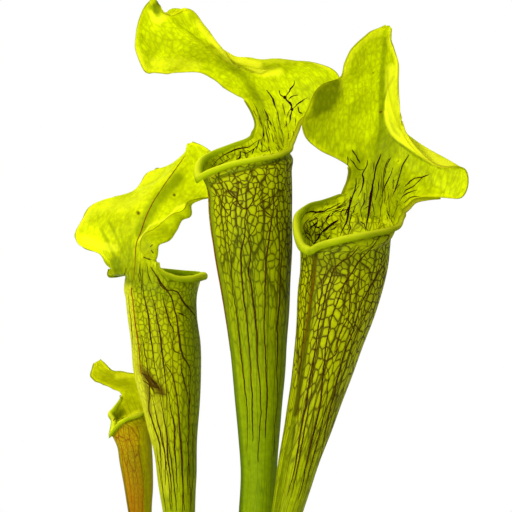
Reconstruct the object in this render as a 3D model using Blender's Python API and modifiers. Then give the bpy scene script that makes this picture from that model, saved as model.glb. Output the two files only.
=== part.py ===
# A potted trumpet pitcher plant: four pitcher leaves on a creeping rhizome, in peat, in a plain clay pot.
# Each leaf is one grown sheet: a tube that closes round its front seam, opens at the mouth, narrows to a
# neck at the back and spreads again into the lid. Lengths are written in millimetres and built in metres.
# The plant's frame has its origin at the middle of the pot's foot, +Z up, and +Y away from its show side.

import math

import bmesh
import bpy
import numpy as np
from mathutils import Vector

MM = 0.001
GAP = 0.3  # between one piece and the next that it touches

# The pot, turned in red clay
POT_HEIGHT = 145.0
POT_FOOT_RADIUS = 52.0
POT_TOP_RADIUS = 76.0  # of the cone under the collar, carried up to the brim
POT_WALL = 5.0
POT_FLOOR = 7.0
COLLAR_HEIGHT = 28.0
COLLAR_STEP = 4.0
EDGE_ROUND = 1.6
POT_STEPS = 40
DRAIN_RADIUS = 4.5
DRAIN_CIRCLE = 27.0
DRAIN_COUNT = 4

# The peat and the rhizome that creeps in it
SOIL_TOP = 125.0
SOIL_DOME = 1.5  # how much higher the middle stands than the edge
FOOT_DEPTH = 12.0  # how far a leaf's foot goes into the rhizome
RHIZOME_RADIUS = 11.5
RHIZOME_CENTRE = SOIL_TOP - 4.5
RHIZOME_SIDES = 3  # bevel resolution of its curve
RHIZOME_ROUTE = (  # x, y, share of the full radius
    (-51.5, 35.5, 0.3),
    (-48.5, 33.0, 0.72),
    (-43.0, 29.0, 0.92),
    (-36.5, 23.5, 0.86),
    (-29.0, 18.0, 1.08),
    (-18.0, 13.0, 0.9),
    (-6.0, 9.5, 0.86),
    (5.0, 7.5, 1.02),
    (12.0, 5.0, 1.12),
    (17.5, -2.0, 1.04),
    (20.0, -13.0, 1.08),
    (22.5, -21.0, 0.8),
    (24.0, -26.0, 0.4),
)

# The leaf sheet
LEAF_THICKNESS = 1.0
BODY_COLUMNS = 7  # columns from the back to the seam zone, on each side
SEAM_PLACES = (0.13, 0.3, 0.52, 1.0)  # columns of the seam zone, which is the lid's rolled margin
BODY_SHARE = 0.86  # of the half section that the body columns take
SEAM_START = 166.0  # degrees from the back at which a closed section's seam zone starts
FOLD_RADIUS = 2.4  # of the bend with which a lid's margin rolls over
LIP_TURN = 230.0  # degrees through which the mouth's edge rolls outwards
LIP_STEPS = 4

# Each leaf. facing is the way its mouth opens, in degrees from +X towards +Y.
# rings: height, x, y, radius, rise along x, rise along y, flare of the front, height of the front's wing.
# mouth: left edge, back and right edge of the open section, as seen from inside the hood.
# lid: left edge, midrib and right edge, then for the left and right halves: how far the half sags to
# the inside, how wide its margin is, and through how many degrees the margin has rolled inwards.
# lip: radius of the rolled edge at the spout and at its ends, and how many lid rows it reaches up.
TALL = {
    "name": "pitcher_tall",
    "facing": 207.0,
    "rings": (
        (SOIL_TOP - FOOT_DEPTH + GAP, 12.0, 6.0, 6.0, 0, 0, 0, 0.3),
        (SOIL_TOP + 4, 12.0, 6.0, 6.0, 0, 0, 0, 0.6),
        (165, 13.0, 5.5, 6.8, 0, 0, 0, 2.2),
        (210, 15.0, 5.0, 9.0, 0, 0, 0, 3.2),
        (250, 17.2, 4.0, 11.4, 0, 0, 0, 3.2),
        (282, 18.1, 3.5, 11.4, 0, 0, 0, 2.6),
        (302, 18.2, 3.0, 12.6, 0, 0, 0, 3.0),
        (328, 18.1, 2.5, 15.0, 0, 0, 0, 3.2),
        (360, 17.7, 2.0, 17.7, 0, 0, 0, 3.4),
        (393, 16.2, 1.0, 21.5, 0.01, 0.01, 0, 3.2),
        (425, 13.8, 0.0, 25.3, 0.06, 0.04, 0, 2.6),
        (453, 12.0, 0.0, 27.0, 0.13, 0.10, 0.4, 2.0),
        (471, 11.7, 0.0, 27.2, 0.20, 0.15, 1.6, 1.4),
        (480, 11.5, 0.0, 27.6, 0.23, 0.17, 5.0, 1.0),
    ),
    "mouth": (
        ((-19.5, -7, 475), (35.5, 12.5, 488.5), (-13.5, -22, 474)),
        ((-18, 5, 481.5), (35, 12.5, 489.5), (-1.5, -28, 479)),
        ((-12.5, 16, 486.5), (34.5, 12, 491), (11, -30, 482)),
        ((-2, 23, 491.5), (33, 11.5, 492.5), (24, -26, 484.5)),
        ((9, 24, 496), (31, 11, 496.5), (34, -17.5, 488)),
        ((14.5, 21, 502), (28, 10, 505), (38, -11, 494)),
    ),
    "lid": (
        ((16.5, 18, 509.5), (24.5, 8.5, 515.5), (41, -9, 503), (0, 0), (1, 1), (-20, -20)),
        ((14, 15, 516.5), (21.5, 6, 522), (44.5, -9, 510), (-1, -1), (1, 1), (-20, -20)),
        ((9.5, 10, 523.5), (17, 2, 528.5), (54.5, -9, 512.5), (-1, -3), (1, 1), (-20, -20)),
        ((3, 5, 527.5), (11.5, -2.5, 535.5), (67, -8, 521), (-1, -4), (1, 1), (-20, -30)),
        ((-4.5, 0, 531.5), (6, -7, 541.5), (70, -8, 532), (-2, -4), (1, 1), (-20, -40)),
        ((-11.5, -5, 537), (-1, -12, 545), (65, -8, 541), (-2, -2), (1, 1.5), (-20, -50)),
        ((-20.5, -11, 541), (-8, -17, 549), (54, -7, 545), (-2, -1), (1, 2), (-20, -60)),
        ((-33, -17, 541), (-16, -22, 553), (39.5, -6, 547), (-2, -1), (1, 3), (-20, -70)),
        ((-41, -24, 539.5), (-23.5, -27, 557), (26, -7, 545), (-2, -1), (1, 4), (-20, -80)),
        ((-49, -29, 540), (-31, -31, 561.5), (16, -11, 540), (-2, -2), (1, 5), (-20, -80)),
        ((-55.5, -33, 540.5), (-37.5, -34, 567), (4, -18, 546), (-3, -1), (1, 5), (-20, -80)),
        ((-59.5, -36, 549.5), (-42.5, -36.5, 571.5), (-10.5, -24, 558), (-3, -1), (1, 5), (0, -80)),
        ((-61, -38, 559.5), (-46.5, -38, 577), (-20.5, -29, 569.5), (-3, -2), (1, 4), (0, -60)),
        ((-59, -38, 572), (-48.5, -39, 581), (-30.5, -33, 579.5), (-1, -2), (1, 3), (0, -20)),
        ((-55, -38.5, 581), (-49.5, -39, 584), (-41.5, -35.5, 576.5), (0, 0), (0.8, 2), (0, 0)),
        ((-51.5, -38.5, 585), (-49.5, -39, 586), (-47, -37.5, 582), (0, 0), (0.6, 1), (0, 0)),
    ),
    "lip": (2.3, 0.5, 3),
}

RIGHT = {
    "name": "pitcher_right",
    "facing": 230.0,
    "rings": (
        (SOIL_TOP - FOOT_DEPTH + GAP, 20.0, -14.0, 5.6, 0, 0, 0, 0.3),
        (SOIL_TOP + 4, 20.0, -14.0, 5.6, 0, 0, 0, 0.6),
        (165, 22.0, -15.5, 6.2, 0, 0, 0, 2.0),
        (210, 27.0, -17.0, 7.9, 0, 0, 0, 3.0),
        (255, 35.4, -18.5, 10.2, 0, 0, 0, 3.4),
        (276, 40.3, -19.0, 12.2, 0, 0, 0, 3.4),
        (297, 45.4, -19.5, 14.4, 0, 0, 0, 3.4),
        (317, 51.0, -20.0, 16.3, 0, 0, 0, 3.4),
        (338, 56.4, -20.0, 18.7, 0, 0, 0, 3.4),
        (359, 61.6, -20.5, 21.5, 0, 0.01, 0, 3.4),
        (380, 66.2, -21.0, 24.8, 0.01, 0.05, 0, 3.0),
        (400, 70.0, -21.5, 27.4, 0.02, 0.13, 0, 2.4),
        (416, 72.4, -22.0, 28.2, 0.03, 0.26, 0.4, 1.8),
        (427, 73.2, -22.0, 28.8, 0.03, 0.34, 1.4, 1.4),
        (434, 73.4, -22.0, 29.6, 0.02, 0.38, 3.0, 1.0),
    ),
    "mouth": (
        ((46, -36, 429.5), (92, 3, 446), (61, -50, 428.5)),
        ((44, -25.5, 437.5), (92.5, 3.5, 447.5), (71, -52.5, 431.5)),
        ((44, -13, 446), (93, 4, 449), (82.5, -50, 434)),
        ((50, 0, 452.5), (94, 4, 451), (94.5, -43, 436.5)),
        ((59.5, 8, 456), (94.5, 4, 454.5), (103, -31.5, 439)),
        ((68.5, 11, 459.5), (95.5, 4, 463), (108.5, -23.5, 446)),
    ),
    "lid": (
        ((74.5, 11, 465), (96, 4, 482.5), (112.5, -17, 453.5), (-2, -2), (1, 1), (-20, -20)),
        ((77, 9, 472.5), (97, 4, 488.5), (120, -15, 459), (-2, -2), (1, 1), (-20, -20)),
        ((77, 4, 479.5), (98, 4, 493), (134, -15, 460), (-2, -2), (1, 1), (-20, -20)),
        ((69.5, -4, 485), (98.5, 4.5, 498), (147, -18, 459.5), (-3, -1), (1, 1.5), (-20, 0)),
        ((57, -14, 490.5), (99, 5, 502.5), (151, -20, 468.5), (-3, 0), (1, 2), (-20, 0)),
        ((49, -22, 496.5), (99.5, 5.5, 507), (148.5, -19, 478), (-4, 0), (1, 3), (-10, 90)),
        ((45.5, -27, 506), (99.5, 6, 513.5), (132.5, -16, 480.5), (-4, 0), (1, 6), (0, 140)),
        ((50, -28, 516.5), (99.5, 6, 522), (121.5, -13, 488.5), (-3, 0), (1, 9), (0, 155)),
        ((54, -26, 527.5), (99.5, 5.5, 531.5), (112.5, -11, 498.5), (-3, 0), (1, 13), (0, 160)),
        ((62.5, -21, 533.5), (99, 4, 540.5), (108.5, -10, 510.5), (-3, 0), (1, 13), (0, 160)),
        ((71, -17, 538), (99, 1.5, 549), (107.5, -10.5, 523), (-2, 0), (1, 10), (0, 160)),
        ((74, -14, 547.5), (99.5, -1.5, 556.5), (107.5, -10.5, 536), (-2, 0), (1, 6), (0, 140)),
        ((78.5, -12, 556.5), (100, -4.5, 561.5), (107.5, -10.5, 547.5), (-2, 0), (1, 2), (0, 60)),
        ((86.5, -11, 564), (101, -7, 565.5), (104.5, -9.5, 556.5), (-1, 0), (1, 1), (0, 0)),
        ((94, -9, 568.5), (101.5, -8.5, 569), (102.5, -9.5, 564.5), (0, 0), (0.8, 0.8), (0, 0)),
        ((99.5, -9, 570.5), (102, -9, 570.5), (103, -9.5, 569), (0, 0), (0.6, 0.6), (0, 0)),
    ),
    "lip": (2.3, 0.5, 3),
}

LEFT = {
    "name": "pitcher_left",
    "facing": 40.0,
    "rings": (
        (SOIL_TOP - FOOT_DEPTH + GAP, -29.0, 18.0, 5.6, 0, 0, 0, 0.3),
        (SOIL_TOP + 4, -29.0, 18.0, 5.6, 0, 0, 0, 0.6),
        (165, -30.5, 19.5, 6.2, 0, 0, 0, 2.0),
        (210, -33.0, 21.0, 8.0, 0, 0, 0, 3.0),
        (255, -35.2, 22.5, 10.6, 0, 0, 0, 3.4),
        (276, -36.4, 23.0, 12.9, 0, 0, 0, 3.4),
        (292, -37.4, 23.5, 14.2, 0, 0, 0, 3.4),
        (308, -39.0, 24.0, 16.6, 0, 0, 0, 3.4),
        (323, -40.4, 24.0, 18.9, 0, 0, 0, 3.4),
        (343, -42.4, 24.0, 21.9, 0, 0, 0, 3.2),
        (364, -43.8, 24.0, 22.8, 0, 0, 0, 2.8),
        (383, -46.0, 24.0, 23.0, 0.02, 0.02, 0, 2.0),
        (395, -46.8, 24.0, 23.4, 0.06, 0.06, 2.0, 1.4),
        (403, -47.2, 24.2, 24.2, 0.10, 0.10, 8.0, 1.0),
    ),
    "mouth": (
        ((-21.5, 30, 408), (-65.5, 8.7, 400.5), (-25.5, 48.5, 408.5)),
        ((-25.5, 14, 406.5), (-65.5, 8.7, 401.2), (-32.5, 50.5, 409)),
        ((-33.5, 2.5, 406), (-65.3, 8.8, 402.5), (-42, 50.5, 410)),
        ((-41.5, -2, 408.5), (-65, 9, 404.5), (-57, 47, 411.5)),
        ((-46.5, -3.5, 412), (-64.5, 9, 408), (-75, 28, 408.5)),
        ((-48.5, -4, 417), (-63.5, 9, 415), (-80, 24.5, 413)),
    ),
    "lid": (
        ((-49, -4, 423.5), (-62, 9.5, 431.5), (-81, 24, 418), (1, -2), (15, 3), (-150, -70)),
        ((-48, -3, 429), (-60, 11, 436.5), (-85.5, 27, 423), (1, -2), (14, 2), (-150, -30)),
        ((-42, 0, 432), (-58.5, 13, 441), (-93, 31, 425.5), (2, -3), (14, 1), (-150, -20)),
        ((-37.5, 5, 437.5), (-56.5, 15.5, 447), (-101, 34, 429.5), (3, -3), (13, 1), (-148, -20)),
        ((-34.5, 10, 444.5), (-54, 18, 452.5), (-103, 36, 436.5), (3, -2), (9, 1), (-145, -20)),
        ((-28.5, 15, 448), (-50.5, 20.5, 459), (-98.5, 38, 446), (3, -1), (8, 1), (-140, -20)),
        ((-28, 19, 455), (-47, 23, 464.5), (-93, 40, 454.5), (3, 1), (5, 1), (-130, -20)),
        ((-21, 24, 459), (-43.5, 25, 470), (-85, 42, 459), (3, 1), (3, 1), (-90, -20)),
        ((-15.5, 28, 462), (-39.5, 27, 475.5), (-75, 44, 460.5), (3, 2), (1, 1), (-20, -20)),
        ((-12.5, 31, 469), (-36, 29, 480.5), (-63, 46, 467), (3, 2), (1, 1), (0, -20)),
        ((-11, 33, 477), (-32.5, 31, 485.5), (-54.5, 47, 477.5), (2, 2), (1, 1), (0, -20)),
        ((-12, 34.5, 485), (-30, 32.5, 489.5), (-47, 46, 479), (2, 1), (1, 1), (0, -20)),
        ((-15.5, 35.5, 491), (-29.5, 33.5, 492), (-39.5, 43, 477.5), (1, 1), (1, 1), (0, 0)),
        ((-21.5, 35.5, 495), (-29.5, 34, 494), (-32.5, 38, 483.5), (0, 0), (0.8, 0.8), (0, 0)),
        ((-26.5, 35, 496.5), (-30, 34.5, 495.5), (-30, 35.5, 490), (0, 0), (0.6, 0.6), (0, 0)),
    ),
    "lip": (2.0, 0.5, 0),
}

SMALL = {
    "name": "pitcher_small",
    "facing": 205.0,
    "rings": (
        (SOIL_TOP - FOOT_DEPTH + GAP, -43.0, 29.0, 4.2, 0, 0, 0, 0.2),
        (SOIL_TOP + 4, -43.0, 29.0, 4.2, 0, 0, 0, 0.4),
        (165, -47.0, 32.5, 4.6, 0, 0, 0, 1.2),
        (210, -55.0, 39.0, 5.8, 0, 0, 0, 1.6),
        (255, -61.1, 44.0, 7.5, 0, 0, 0, 1.8),
        (270, -62.0, 45.0, 9.2, 0, 0, 0, 1.8),
        (286, -63.6, 46.0, 10.8, 0.04, 0.04, 0, 1.6),
        (297, -65.0, 46.5, 11.3, 0.10, 0.10, 0.3, 1.0),
        (305, -66.0, 46.5, 11.6, 0.16, 0.14, 2.6, 0.6),
    ),
    "mouth": (
        ((-78, 41, 313), (-55.5, 51.5, 310.5), (-74, 35.5, 310)),
        ((-80, 45, 316), (-55.5, 51.5, 312), (-72.5, 33, 311.5)),
        ((-78, 49, 319), (-56, 51.5, 314), (-67.5, 35, 314)),
        ((-76, 53, 322), (-57, 51.5, 316.5), (-62, 36, 316)),
        ((-74, 54, 325), (-58.5, 51.5, 321), (-57, 39, 320)),
    ),
    "lid": (
        ((-73, 51, 328.5), (-60, 51.5, 331), (-55.5, 43, 326), (-1, -1), (0.8, 0.8), (0, -20)),
        ((-74.5, 50, 331.5), (-63.5, 50, 335.5), (-55, 42, 335.5), (-1, -1), (0.8, 1), (0, -30)),
        ((-79.5, 47, 334), (-69.5, 47, 338.5), (-61.5, 41.5, 341.5), (-1, -1), (0.8, 1), (0, -30)),
        ((-85.5, 43, 337), (-76.5, 43, 342), (-70.5, 40, 344.5), (-1, -1), (0.8, 1), (0, -20)),
        ((-91, 40, 339.5), (-84, 39.5, 345), (-79.5, 38, 346), (-0.5, -0.5), (0.6, 0.8), (0, 0)),
        ((-93.5, 38, 345), (-88.5, 37.5, 349.5), (-84.5, 37, 350), (0, 0), (0.6, 0.6), (0, 0)),
        ((-91, 37.5, 350.5), (-89, 37, 352), (-87.5, 37, 353), (0, 0), (0.4, 0.4), (0, 0)),
    ),
    "lip": (1.3, 0.4, 1),
}

LEAVES = (TALL, RIGHT, LEFT, SMALL)
RING_ROWS = 1  # rows from one ring of a tube to the next
MOUTH_ROWS = 1  # rows from one section of a mouth to the next
LID_ROWS = 1  # rows from one section of a lid to the next

# Colours, red, green and blue from 0 to 1, and roughness
LEAF_GREEN = (0.34, 0.42, 0.01)
LEAF_AMBER = (0.42, 0.30, 0.02)
CLAY = (0.44, 0.16, 0.075)
PEAT = (0.035, 0.02, 0.012)
BARK = (0.12, 0.055, 0.03)


def clear_scene():
    for obj in list(bpy.data.objects):
        bpy.data.objects.remove(obj)


def new_collection(name):
    collection = bpy.data.collections.new(name)
    bpy.context.scene.collection.children.link(collection)
    return collection


def principled(name, colour, roughness):
    material = bpy.data.materials.new(name)
    material.use_nodes = True
    shader = material.node_tree.nodes["Principled BSDF"]
    shader.inputs["Base Color"].default_value = (*colour, 1)
    shader.inputs["Roughness"].default_value = roughness
    return material


def add_object(name, mesh, collection, material=None):
    obj = bpy.data.objects.new(name, mesh)
    collection.objects.link(obj)
    if material:
        mesh.materials.clear()
        mesh.materials.append(material)
    return obj


def hide_helper(obj):
    obj.hide_render = True
    obj.display_type = "WIRE"
    return obj


def smooth(mesh, angle=40):
    mesh.shade_smooth()
    mesh.set_sharp_from_angle(angle=math.radians(angle))


def add_boolean(obj, other, operation):
    modifier = obj.modifiers.new(operation.title(), "BOOLEAN")
    modifier.object = other
    modifier.operation = operation
    modifier.solver = "EXACT"
    return modifier


def mesh_from_curve(curve_obj, name, collection):
    """A mesh object in the place of a curve, its caps welded to its side."""
    graph = bpy.context.evaluated_depsgraph_get()
    graph.update()
    mesh = bpy.data.meshes.new_from_object(curve_obj.evaluated_get(graph))
    work = bmesh.new()
    work.from_mesh(mesh)
    bmesh.ops.remove_doubles(work, verts=work.verts, dist=0.00001)
    bmesh.ops.recalc_face_normals(work, faces=work.faces)
    work.to_mesh(mesh)
    work.free()
    bpy.data.objects.remove(curve_obj)
    return add_object(name, mesh, collection)


def tube_along(name, points, radii, resolution, collection):
    """A round bar through points, with its own radius at each, all in millimetres."""
    curve = bpy.data.curves.new(name, "CURVE")
    curve.dimensions = "3D"
    curve.bevel_depth = MM
    curve.bevel_resolution = resolution
    curve.use_fill_caps = True
    spline = curve.splines.new("POLY")
    spline.points.add(len(points) - 1)
    for control, point, radius in zip(spline.points, points, radii):
        control.co = (*(Vector(point) * MM), 1)
        control.radius = radius
    return add_object(name, curve, collection)


def smooth_through(stations, knots, at):
    """Values at the places in at, on the smooth curve through stations, which lie at knots."""
    stations = np.asarray(stations, float)
    knots = np.asarray(knots, float)
    steps = np.diff(knots)
    slopes = np.diff(stations, axis=0) / steps.reshape(-1, *[1] * (stations.ndim - 1))
    tangents = np.empty_like(stations)
    tangents[0], tangents[-1] = slopes[0], slopes[-1]
    for i in range(1, len(knots) - 1):
        before, after = steps[i - 1], steps[i]
        tangents[i] = (slopes[i - 1] * after + slopes[i] * before) / (before + after)
    made = []
    for place in at:
        i = min(max(int(np.searchsorted(knots, place, side="right")) - 1, 0), len(steps) - 1)
        t = (place - knots[i]) / steps[i]
        made.append(
            (2 * t**3 - 3 * t**2 + 1) * stations[i]
            + (t**3 - 2 * t**2 + t) * steps[i] * tangents[i]
            + (3 * t**2 - 2 * t**3) * stations[i + 1]
            + (t**3 - t**2) * steps[i] * tangents[i + 1]
        )
    return np.array(made)


def column_places():
    """Where the columns of a section lie, from -1 at its left edge to 1 at its right."""
    body = np.linspace(0, BODY_SHARE, BODY_COLUMNS + 1)
    seam = BODY_SHARE + (1 - BODY_SHARE) * np.array(SEAM_PLACES)
    half = np.concatenate([body, seam])
    return np.concatenate([-half[:0:-1], half])


def seam_zone(places):
    """How far into the seam zone each column lies, from 0 to 1."""
    return np.clip((np.abs(places) - BODY_SHARE) / (1 - BODY_SHARE), 0, 1)


def turn_from_back(places):
    """Degrees from the back at which each column of a closed section lies."""
    return np.minimum(np.abs(places) / BODY_SHARE, 1) * SEAM_START + seam_zone(places) * (180 - SEAM_START)


def ring_section(facing, ring, places):
    """The points of one closed section of a tube."""
    height, x, y, radius, rise_x, rise_y, flare, wing = ring
    turn = turn_from_back(places)
    angle = np.radians(facing + 180 - np.sign(places) * turn)
    reach = radius + flare * (turn / 180) ** 6 + wing * seam_zone(places) ** 3
    dx, dy = reach * np.cos(angle), reach * np.sin(angle)
    return np.stack([x + dx, y + dy, height + rise_x * dx + rise_y * dy], axis=1)


def mouth_section(section, ring, places):
    """The points of one open section above the last ring: it flares and climbs to its two edges."""
    level, x, y, _, rise_x, rise_y = ring[:6]
    reach, angle, above = [], [], []
    for point in section:
        dx, dy = point[0] - x, point[1] - y
        reach.append(math.hypot(dx, dy))
        angle.append(math.atan2(dy, dx))
        above.append(point[2] - level - rise_x * dx - rise_y * dy)
    spans = ((angle[0] - angle[1]) % math.tau, (angle[2] - angle[1]) % math.tau - math.tau)
    turn = turn_from_back(places) / 180
    leftward = places < 0
    radius = reach[1] + np.where(leftward, reach[0] - reach[1], reach[2] - reach[1]) * turn**3
    lift = above[1] + np.where(leftward, above[0] - above[1], above[2] - above[1]) * turn**4
    around = angle[1] + turn * np.where(leftward, spans[0], spans[1])
    dx, dy = radius * np.cos(around), radius * np.sin(around)
    return np.stack([x + dx, y + dy, level + rise_x * dx + rise_y * dy + lift], axis=1)


def lid_section(section, along, places):
    """The points of one section of the lid, its rolled margins included."""
    left, mid, right = (np.array(point, float) for point in section[:3])
    sags, margins, curls = section[3:]
    inward = np.cross(right - left, along)
    inward /= np.linalg.norm(inward)
    guides = np.array([left, (left + mid) / 2 + inward * sags[0], mid, (right + mid) / 2 + inward * sags[1], right])
    knots = np.concatenate([[0], np.cumsum(np.linalg.norm(np.diff(guides, axis=0), axis=1))])
    share = np.clip(places / BODY_SHARE, -1, 1)
    at = knots[2] + np.where(share < 0, share * knots[2], share * (knots[4] - knots[2]))
    points = smooth_through(guides, knots, at)
    for side, end in ((0, -1), (1, 1)):
        edge, near = smooth_through(guides, knots, (knots[-side], knots[-side] - end * 0.5))
        outward = (edge - near) / np.linalg.norm(edge - near)
        curl = math.radians(curls[side])
        for i in np.flatnonzero(places * end > BODY_SHARE):
            travelled = margins[side] * seam_zone(places[i])
            turned = min(travelled / FOLD_RADIUS, abs(curl))
            straight = travelled - turned * FOLD_RADIUS
            out = FOLD_RADIUS * math.sin(turned) + straight * math.cos(turned)
            over = FOLD_RADIUS * (1 - math.cos(turned)) + straight * math.sin(turned)
            points[i] = edge + outward * out + inward * math.copysign(over, curl)
    return points


def leaf_rows(leaf):
    """(rows of points of the whole sheet, number of closed rows, number of rows that the lip reaches)."""
    places = column_places()
    middle = len(places) // 2
    sections = [ring_section(leaf["facing"], ring, places) for ring in leaf["rings"]]
    sections += [mouth_section(section, leaf["rings"][-1], places) for section in leaf["mouth"]]
    midrib = np.array([sections[-1][middle]] + [section[1] for section in leaf["lid"]])
    for row, section in enumerate(leaf["lid"]):
        along = midrib[min(row + 2, len(midrib) - 1)] - midrib[row]
        sections.append(lid_section(section, along, places))
    middles = np.array([section[middle] for section in sections])
    knots = np.concatenate([[0], np.cumsum(np.linalg.norm(np.diff(middles, axis=0), axis=1))])
    rings, mouths, lids = len(leaf["rings"]), len(leaf["mouth"]), len(leaf["lid"])
    counts = [RING_ROWS] * (rings - 1) + [MOUTH_ROWS] * mouths + [LID_ROWS] * lids
    at = [0.0]
    for i, count in enumerate(counts):
        at += [knots[i] + (knots[i + 1] - knots[i]) * step / count for step in range(1, count + 1)]
    closed = RING_ROWS * (rings - 1) + 1
    lip_end = closed + MOUTH_ROWS * mouths + LID_ROWS * leaf["lip"][2]
    return smooth_through(sections, knots, at), closed, lip_end


def roll_lip(work, rim, leaf):
    """Rolls the sheet's edge outwards all along the rim, most at the spout in its middle."""
    full, fine, _ = leaf["lip"]
    axis = Vector((*leaf["rings"][-1][1:3], 0)) * MM
    travelled = [0.0]
    for here, there in zip(rim, rim[1:]):
        travelled.append(travelled[-1] + (there.co - here.co).length)
    lines = []
    for k, vertex in enumerate(rim):
        tangent = (rim[min(k + 1, len(rim) - 1)].co - rim[max(k - 1, 0)].co).normalized()
        outward = (vertex.co - axis) * Vector((1, 1, 0))
        outward = (outward - outward.project(tangent)).normalized()
        onward = outward.cross(tangent)
        reach = abs(2 * travelled[k] / travelled[-1] - 1)
        radius = (full + (fine - full) * reach**3) * MM
        line = [vertex]
        for step in range(1, LIP_STEPS + 1):
            turned = math.radians(LIP_TURN * step / LIP_STEPS)
            line.append(
                work.verts.new(
                    vertex.co + radius * (math.sin(turned) * onward + (1 - math.cos(turned)) * outward)
                )
            )
        lines.append(line)
    for here, there in zip(lines, lines[1:]):
        for j in range(LIP_STEPS):
            work.faces.new((here[j], there[j], there[j + 1], here[j + 1]))


def build_leaf(leaf, collection, material):
    """One pitcher: a sheet that is closed below the mouth and at its foot, then thickened inwards."""
    rows, closed, lip_end = leaf_rows(leaf)
    work = bmesh.new()
    grid = []
    for j, row in enumerate(rows):
        if j < closed:
            line = [work.verts.new(point * MM) for point in row[:-1]]
            line.append(line[0])
        else:
            line = [work.verts.new(point * MM) for point in row]
        grid.append(line)
    for below, above in zip(grid, grid[1:]):
        for i in range(len(below) - 1):
            work.faces.new((below[i], above[i], above[i + 1], below[i + 1]))
    work.faces.new(grid[0][:-1])
    edge_rows = grid[closed - 1 : lip_end]
    rim = [row[0] for row in edge_rows[::-1]] + [row[-1] for row in edge_rows[1:]]
    roll_lip(work, rim, leaf)
    bmesh.ops.triangulate(work, faces=work.faces)
    mesh = bpy.data.meshes.new(leaf["name"])
    work.to_mesh(mesh)
    work.free()
    smooth(mesh)
    obj = add_object(leaf["name"], mesh, collection, material)
    shell = obj.modifiers.new("Thickness", "SOLIDIFY")
    shell.thickness = LEAF_THICKNESS * MM
    shell.offset = -1
    return obj


def cone_radius(height, inside=0.0):
    """Radius of the pot's cone at a height, or of the wall's inner face."""
    return POT_FOOT_RADIUS + (POT_TOP_RADIUS - POT_FOOT_RADIUS) * height / POT_HEIGHT - inside


def turned(name, profile, collection, material):
    """A body turned about Z from a profile of (radius, height)."""
    mesh = bpy.data.meshes.new(name)
    points = [(radius * MM, 0, height * MM) for radius, height in profile]
    mesh.from_pydata(points, [(i, i + 1) for i in range(len(points) - 1)], [])
    obj = add_object(name, mesh, collection, material)
    screw = obj.modifiers.new("Turn", "SCREW")
    screw.steps = screw.render_steps = POT_STEPS
    screw.use_merge_vertices = True
    screw.merge_threshold = 0.00001
    screw.use_smooth_shade = True
    return obj


def build_pot(collection, helpers, material):
    collar_foot = POT_HEIGHT - COLLAR_HEIGHT
    brim = POT_TOP_RADIUS + COLLAR_STEP
    profile = (
        (0, POT_FLOOR),
        (cone_radius(POT_FLOOR, POT_WALL), POT_FLOOR),
        (cone_radius(POT_HEIGHT - EDGE_ROUND, POT_WALL), POT_HEIGHT - EDGE_ROUND),
        (cone_radius(POT_HEIGHT, POT_WALL) + EDGE_ROUND, POT_HEIGHT),
        (brim - EDGE_ROUND, POT_HEIGHT),
        (brim, POT_HEIGHT - EDGE_ROUND),
        (brim - EDGE_ROUND, collar_foot + EDGE_ROUND),
        (brim - 2 * EDGE_ROUND, collar_foot),
        (cone_radius(collar_foot), collar_foot - EDGE_ROUND),
        (cone_radius(EDGE_ROUND), EDGE_ROUND),
        (cone_radius(0) - EDGE_ROUND, 0),
        (0, 0),
    )
    pot = turned("pot", profile, collection, material)
    for i in range(DRAIN_COUNT):
        turn = math.tau * (i + 0.5) / DRAIN_COUNT
        place = (DRAIN_CIRCLE * MM * math.cos(turn), DRAIN_CIRCLE * MM * math.sin(turn), POT_FLOOR * MM / 2)
        bpy.ops.mesh.primitive_cylinder_add(
            vertices=12, radius=DRAIN_RADIUS * MM, depth=3 * POT_FLOOR * MM, location=place
        )
        drain = hide_helper(bpy.context.active_object)
        drain.name = f"drain_{i}"
        for owner in list(drain.users_collection):
            owner.objects.unlink(drain)
        helpers.objects.link(drain)
        add_boolean(pot, drain, "DIFFERENCE")
    return pot


def rhizome_bar(name, extra, helpers):
    """The rhizome's rounded bar, wider all round by extra."""
    stations = np.array(RHIZOME_ROUTE)
    knots = np.arange(len(stations))
    route = smooth_through(stations, knots, np.linspace(0, len(stations) - 1, 2 * len(stations) - 1))
    points = [(x, y, RHIZOME_CENTRE) for x, y, _ in route]
    radii = [share * RHIZOME_RADIUS + extra for _, _, share in route]
    if extra:
        for end, near in ((0, 1), (-1, -2)):
            step = np.array(points[end]) - np.array(points[near])
            points[end] = tuple(np.array(points[end]) + step / np.linalg.norm(step) * extra)
    bar = tube_along(name, points, radii, RHIZOME_SIDES, helpers)
    return mesh_from_curve(bar, name, helpers)


def build_rhizome(collection, helpers, material):
    """The rhizome, with a plain socket for each leaf's foot."""
    rhizome = rhizome_bar("rhizome", 0.0, helpers)
    helpers.objects.unlink(rhizome)
    collection.objects.link(rhizome)
    rhizome.data.materials.append(material)
    for leaf in LEAVES:
        height, x, y, radius = leaf["rings"][0][:4]
        bottom = height - GAP
        top = SOIL_TOP + 3 * FOOT_DEPTH
        bpy.ops.mesh.primitive_cylinder_add(
            vertices=24,
            radius=(radius + leaf["rings"][1][7] + 2 * GAP) * MM,
            depth=(top - bottom) * MM,
            location=(x * MM, y * MM, (top + bottom) / 2 * MM),
        )
        socket = hide_helper(bpy.context.active_object)
        socket.name = leaf["name"] + "_socket"
        for owner in list(socket.users_collection):
            owner.objects.unlink(socket)
        helpers.objects.link(socket)
        add_boolean(rhizome, socket, "DIFFERENCE")
    smooth(rhizome.data)
    return rhizome


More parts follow.
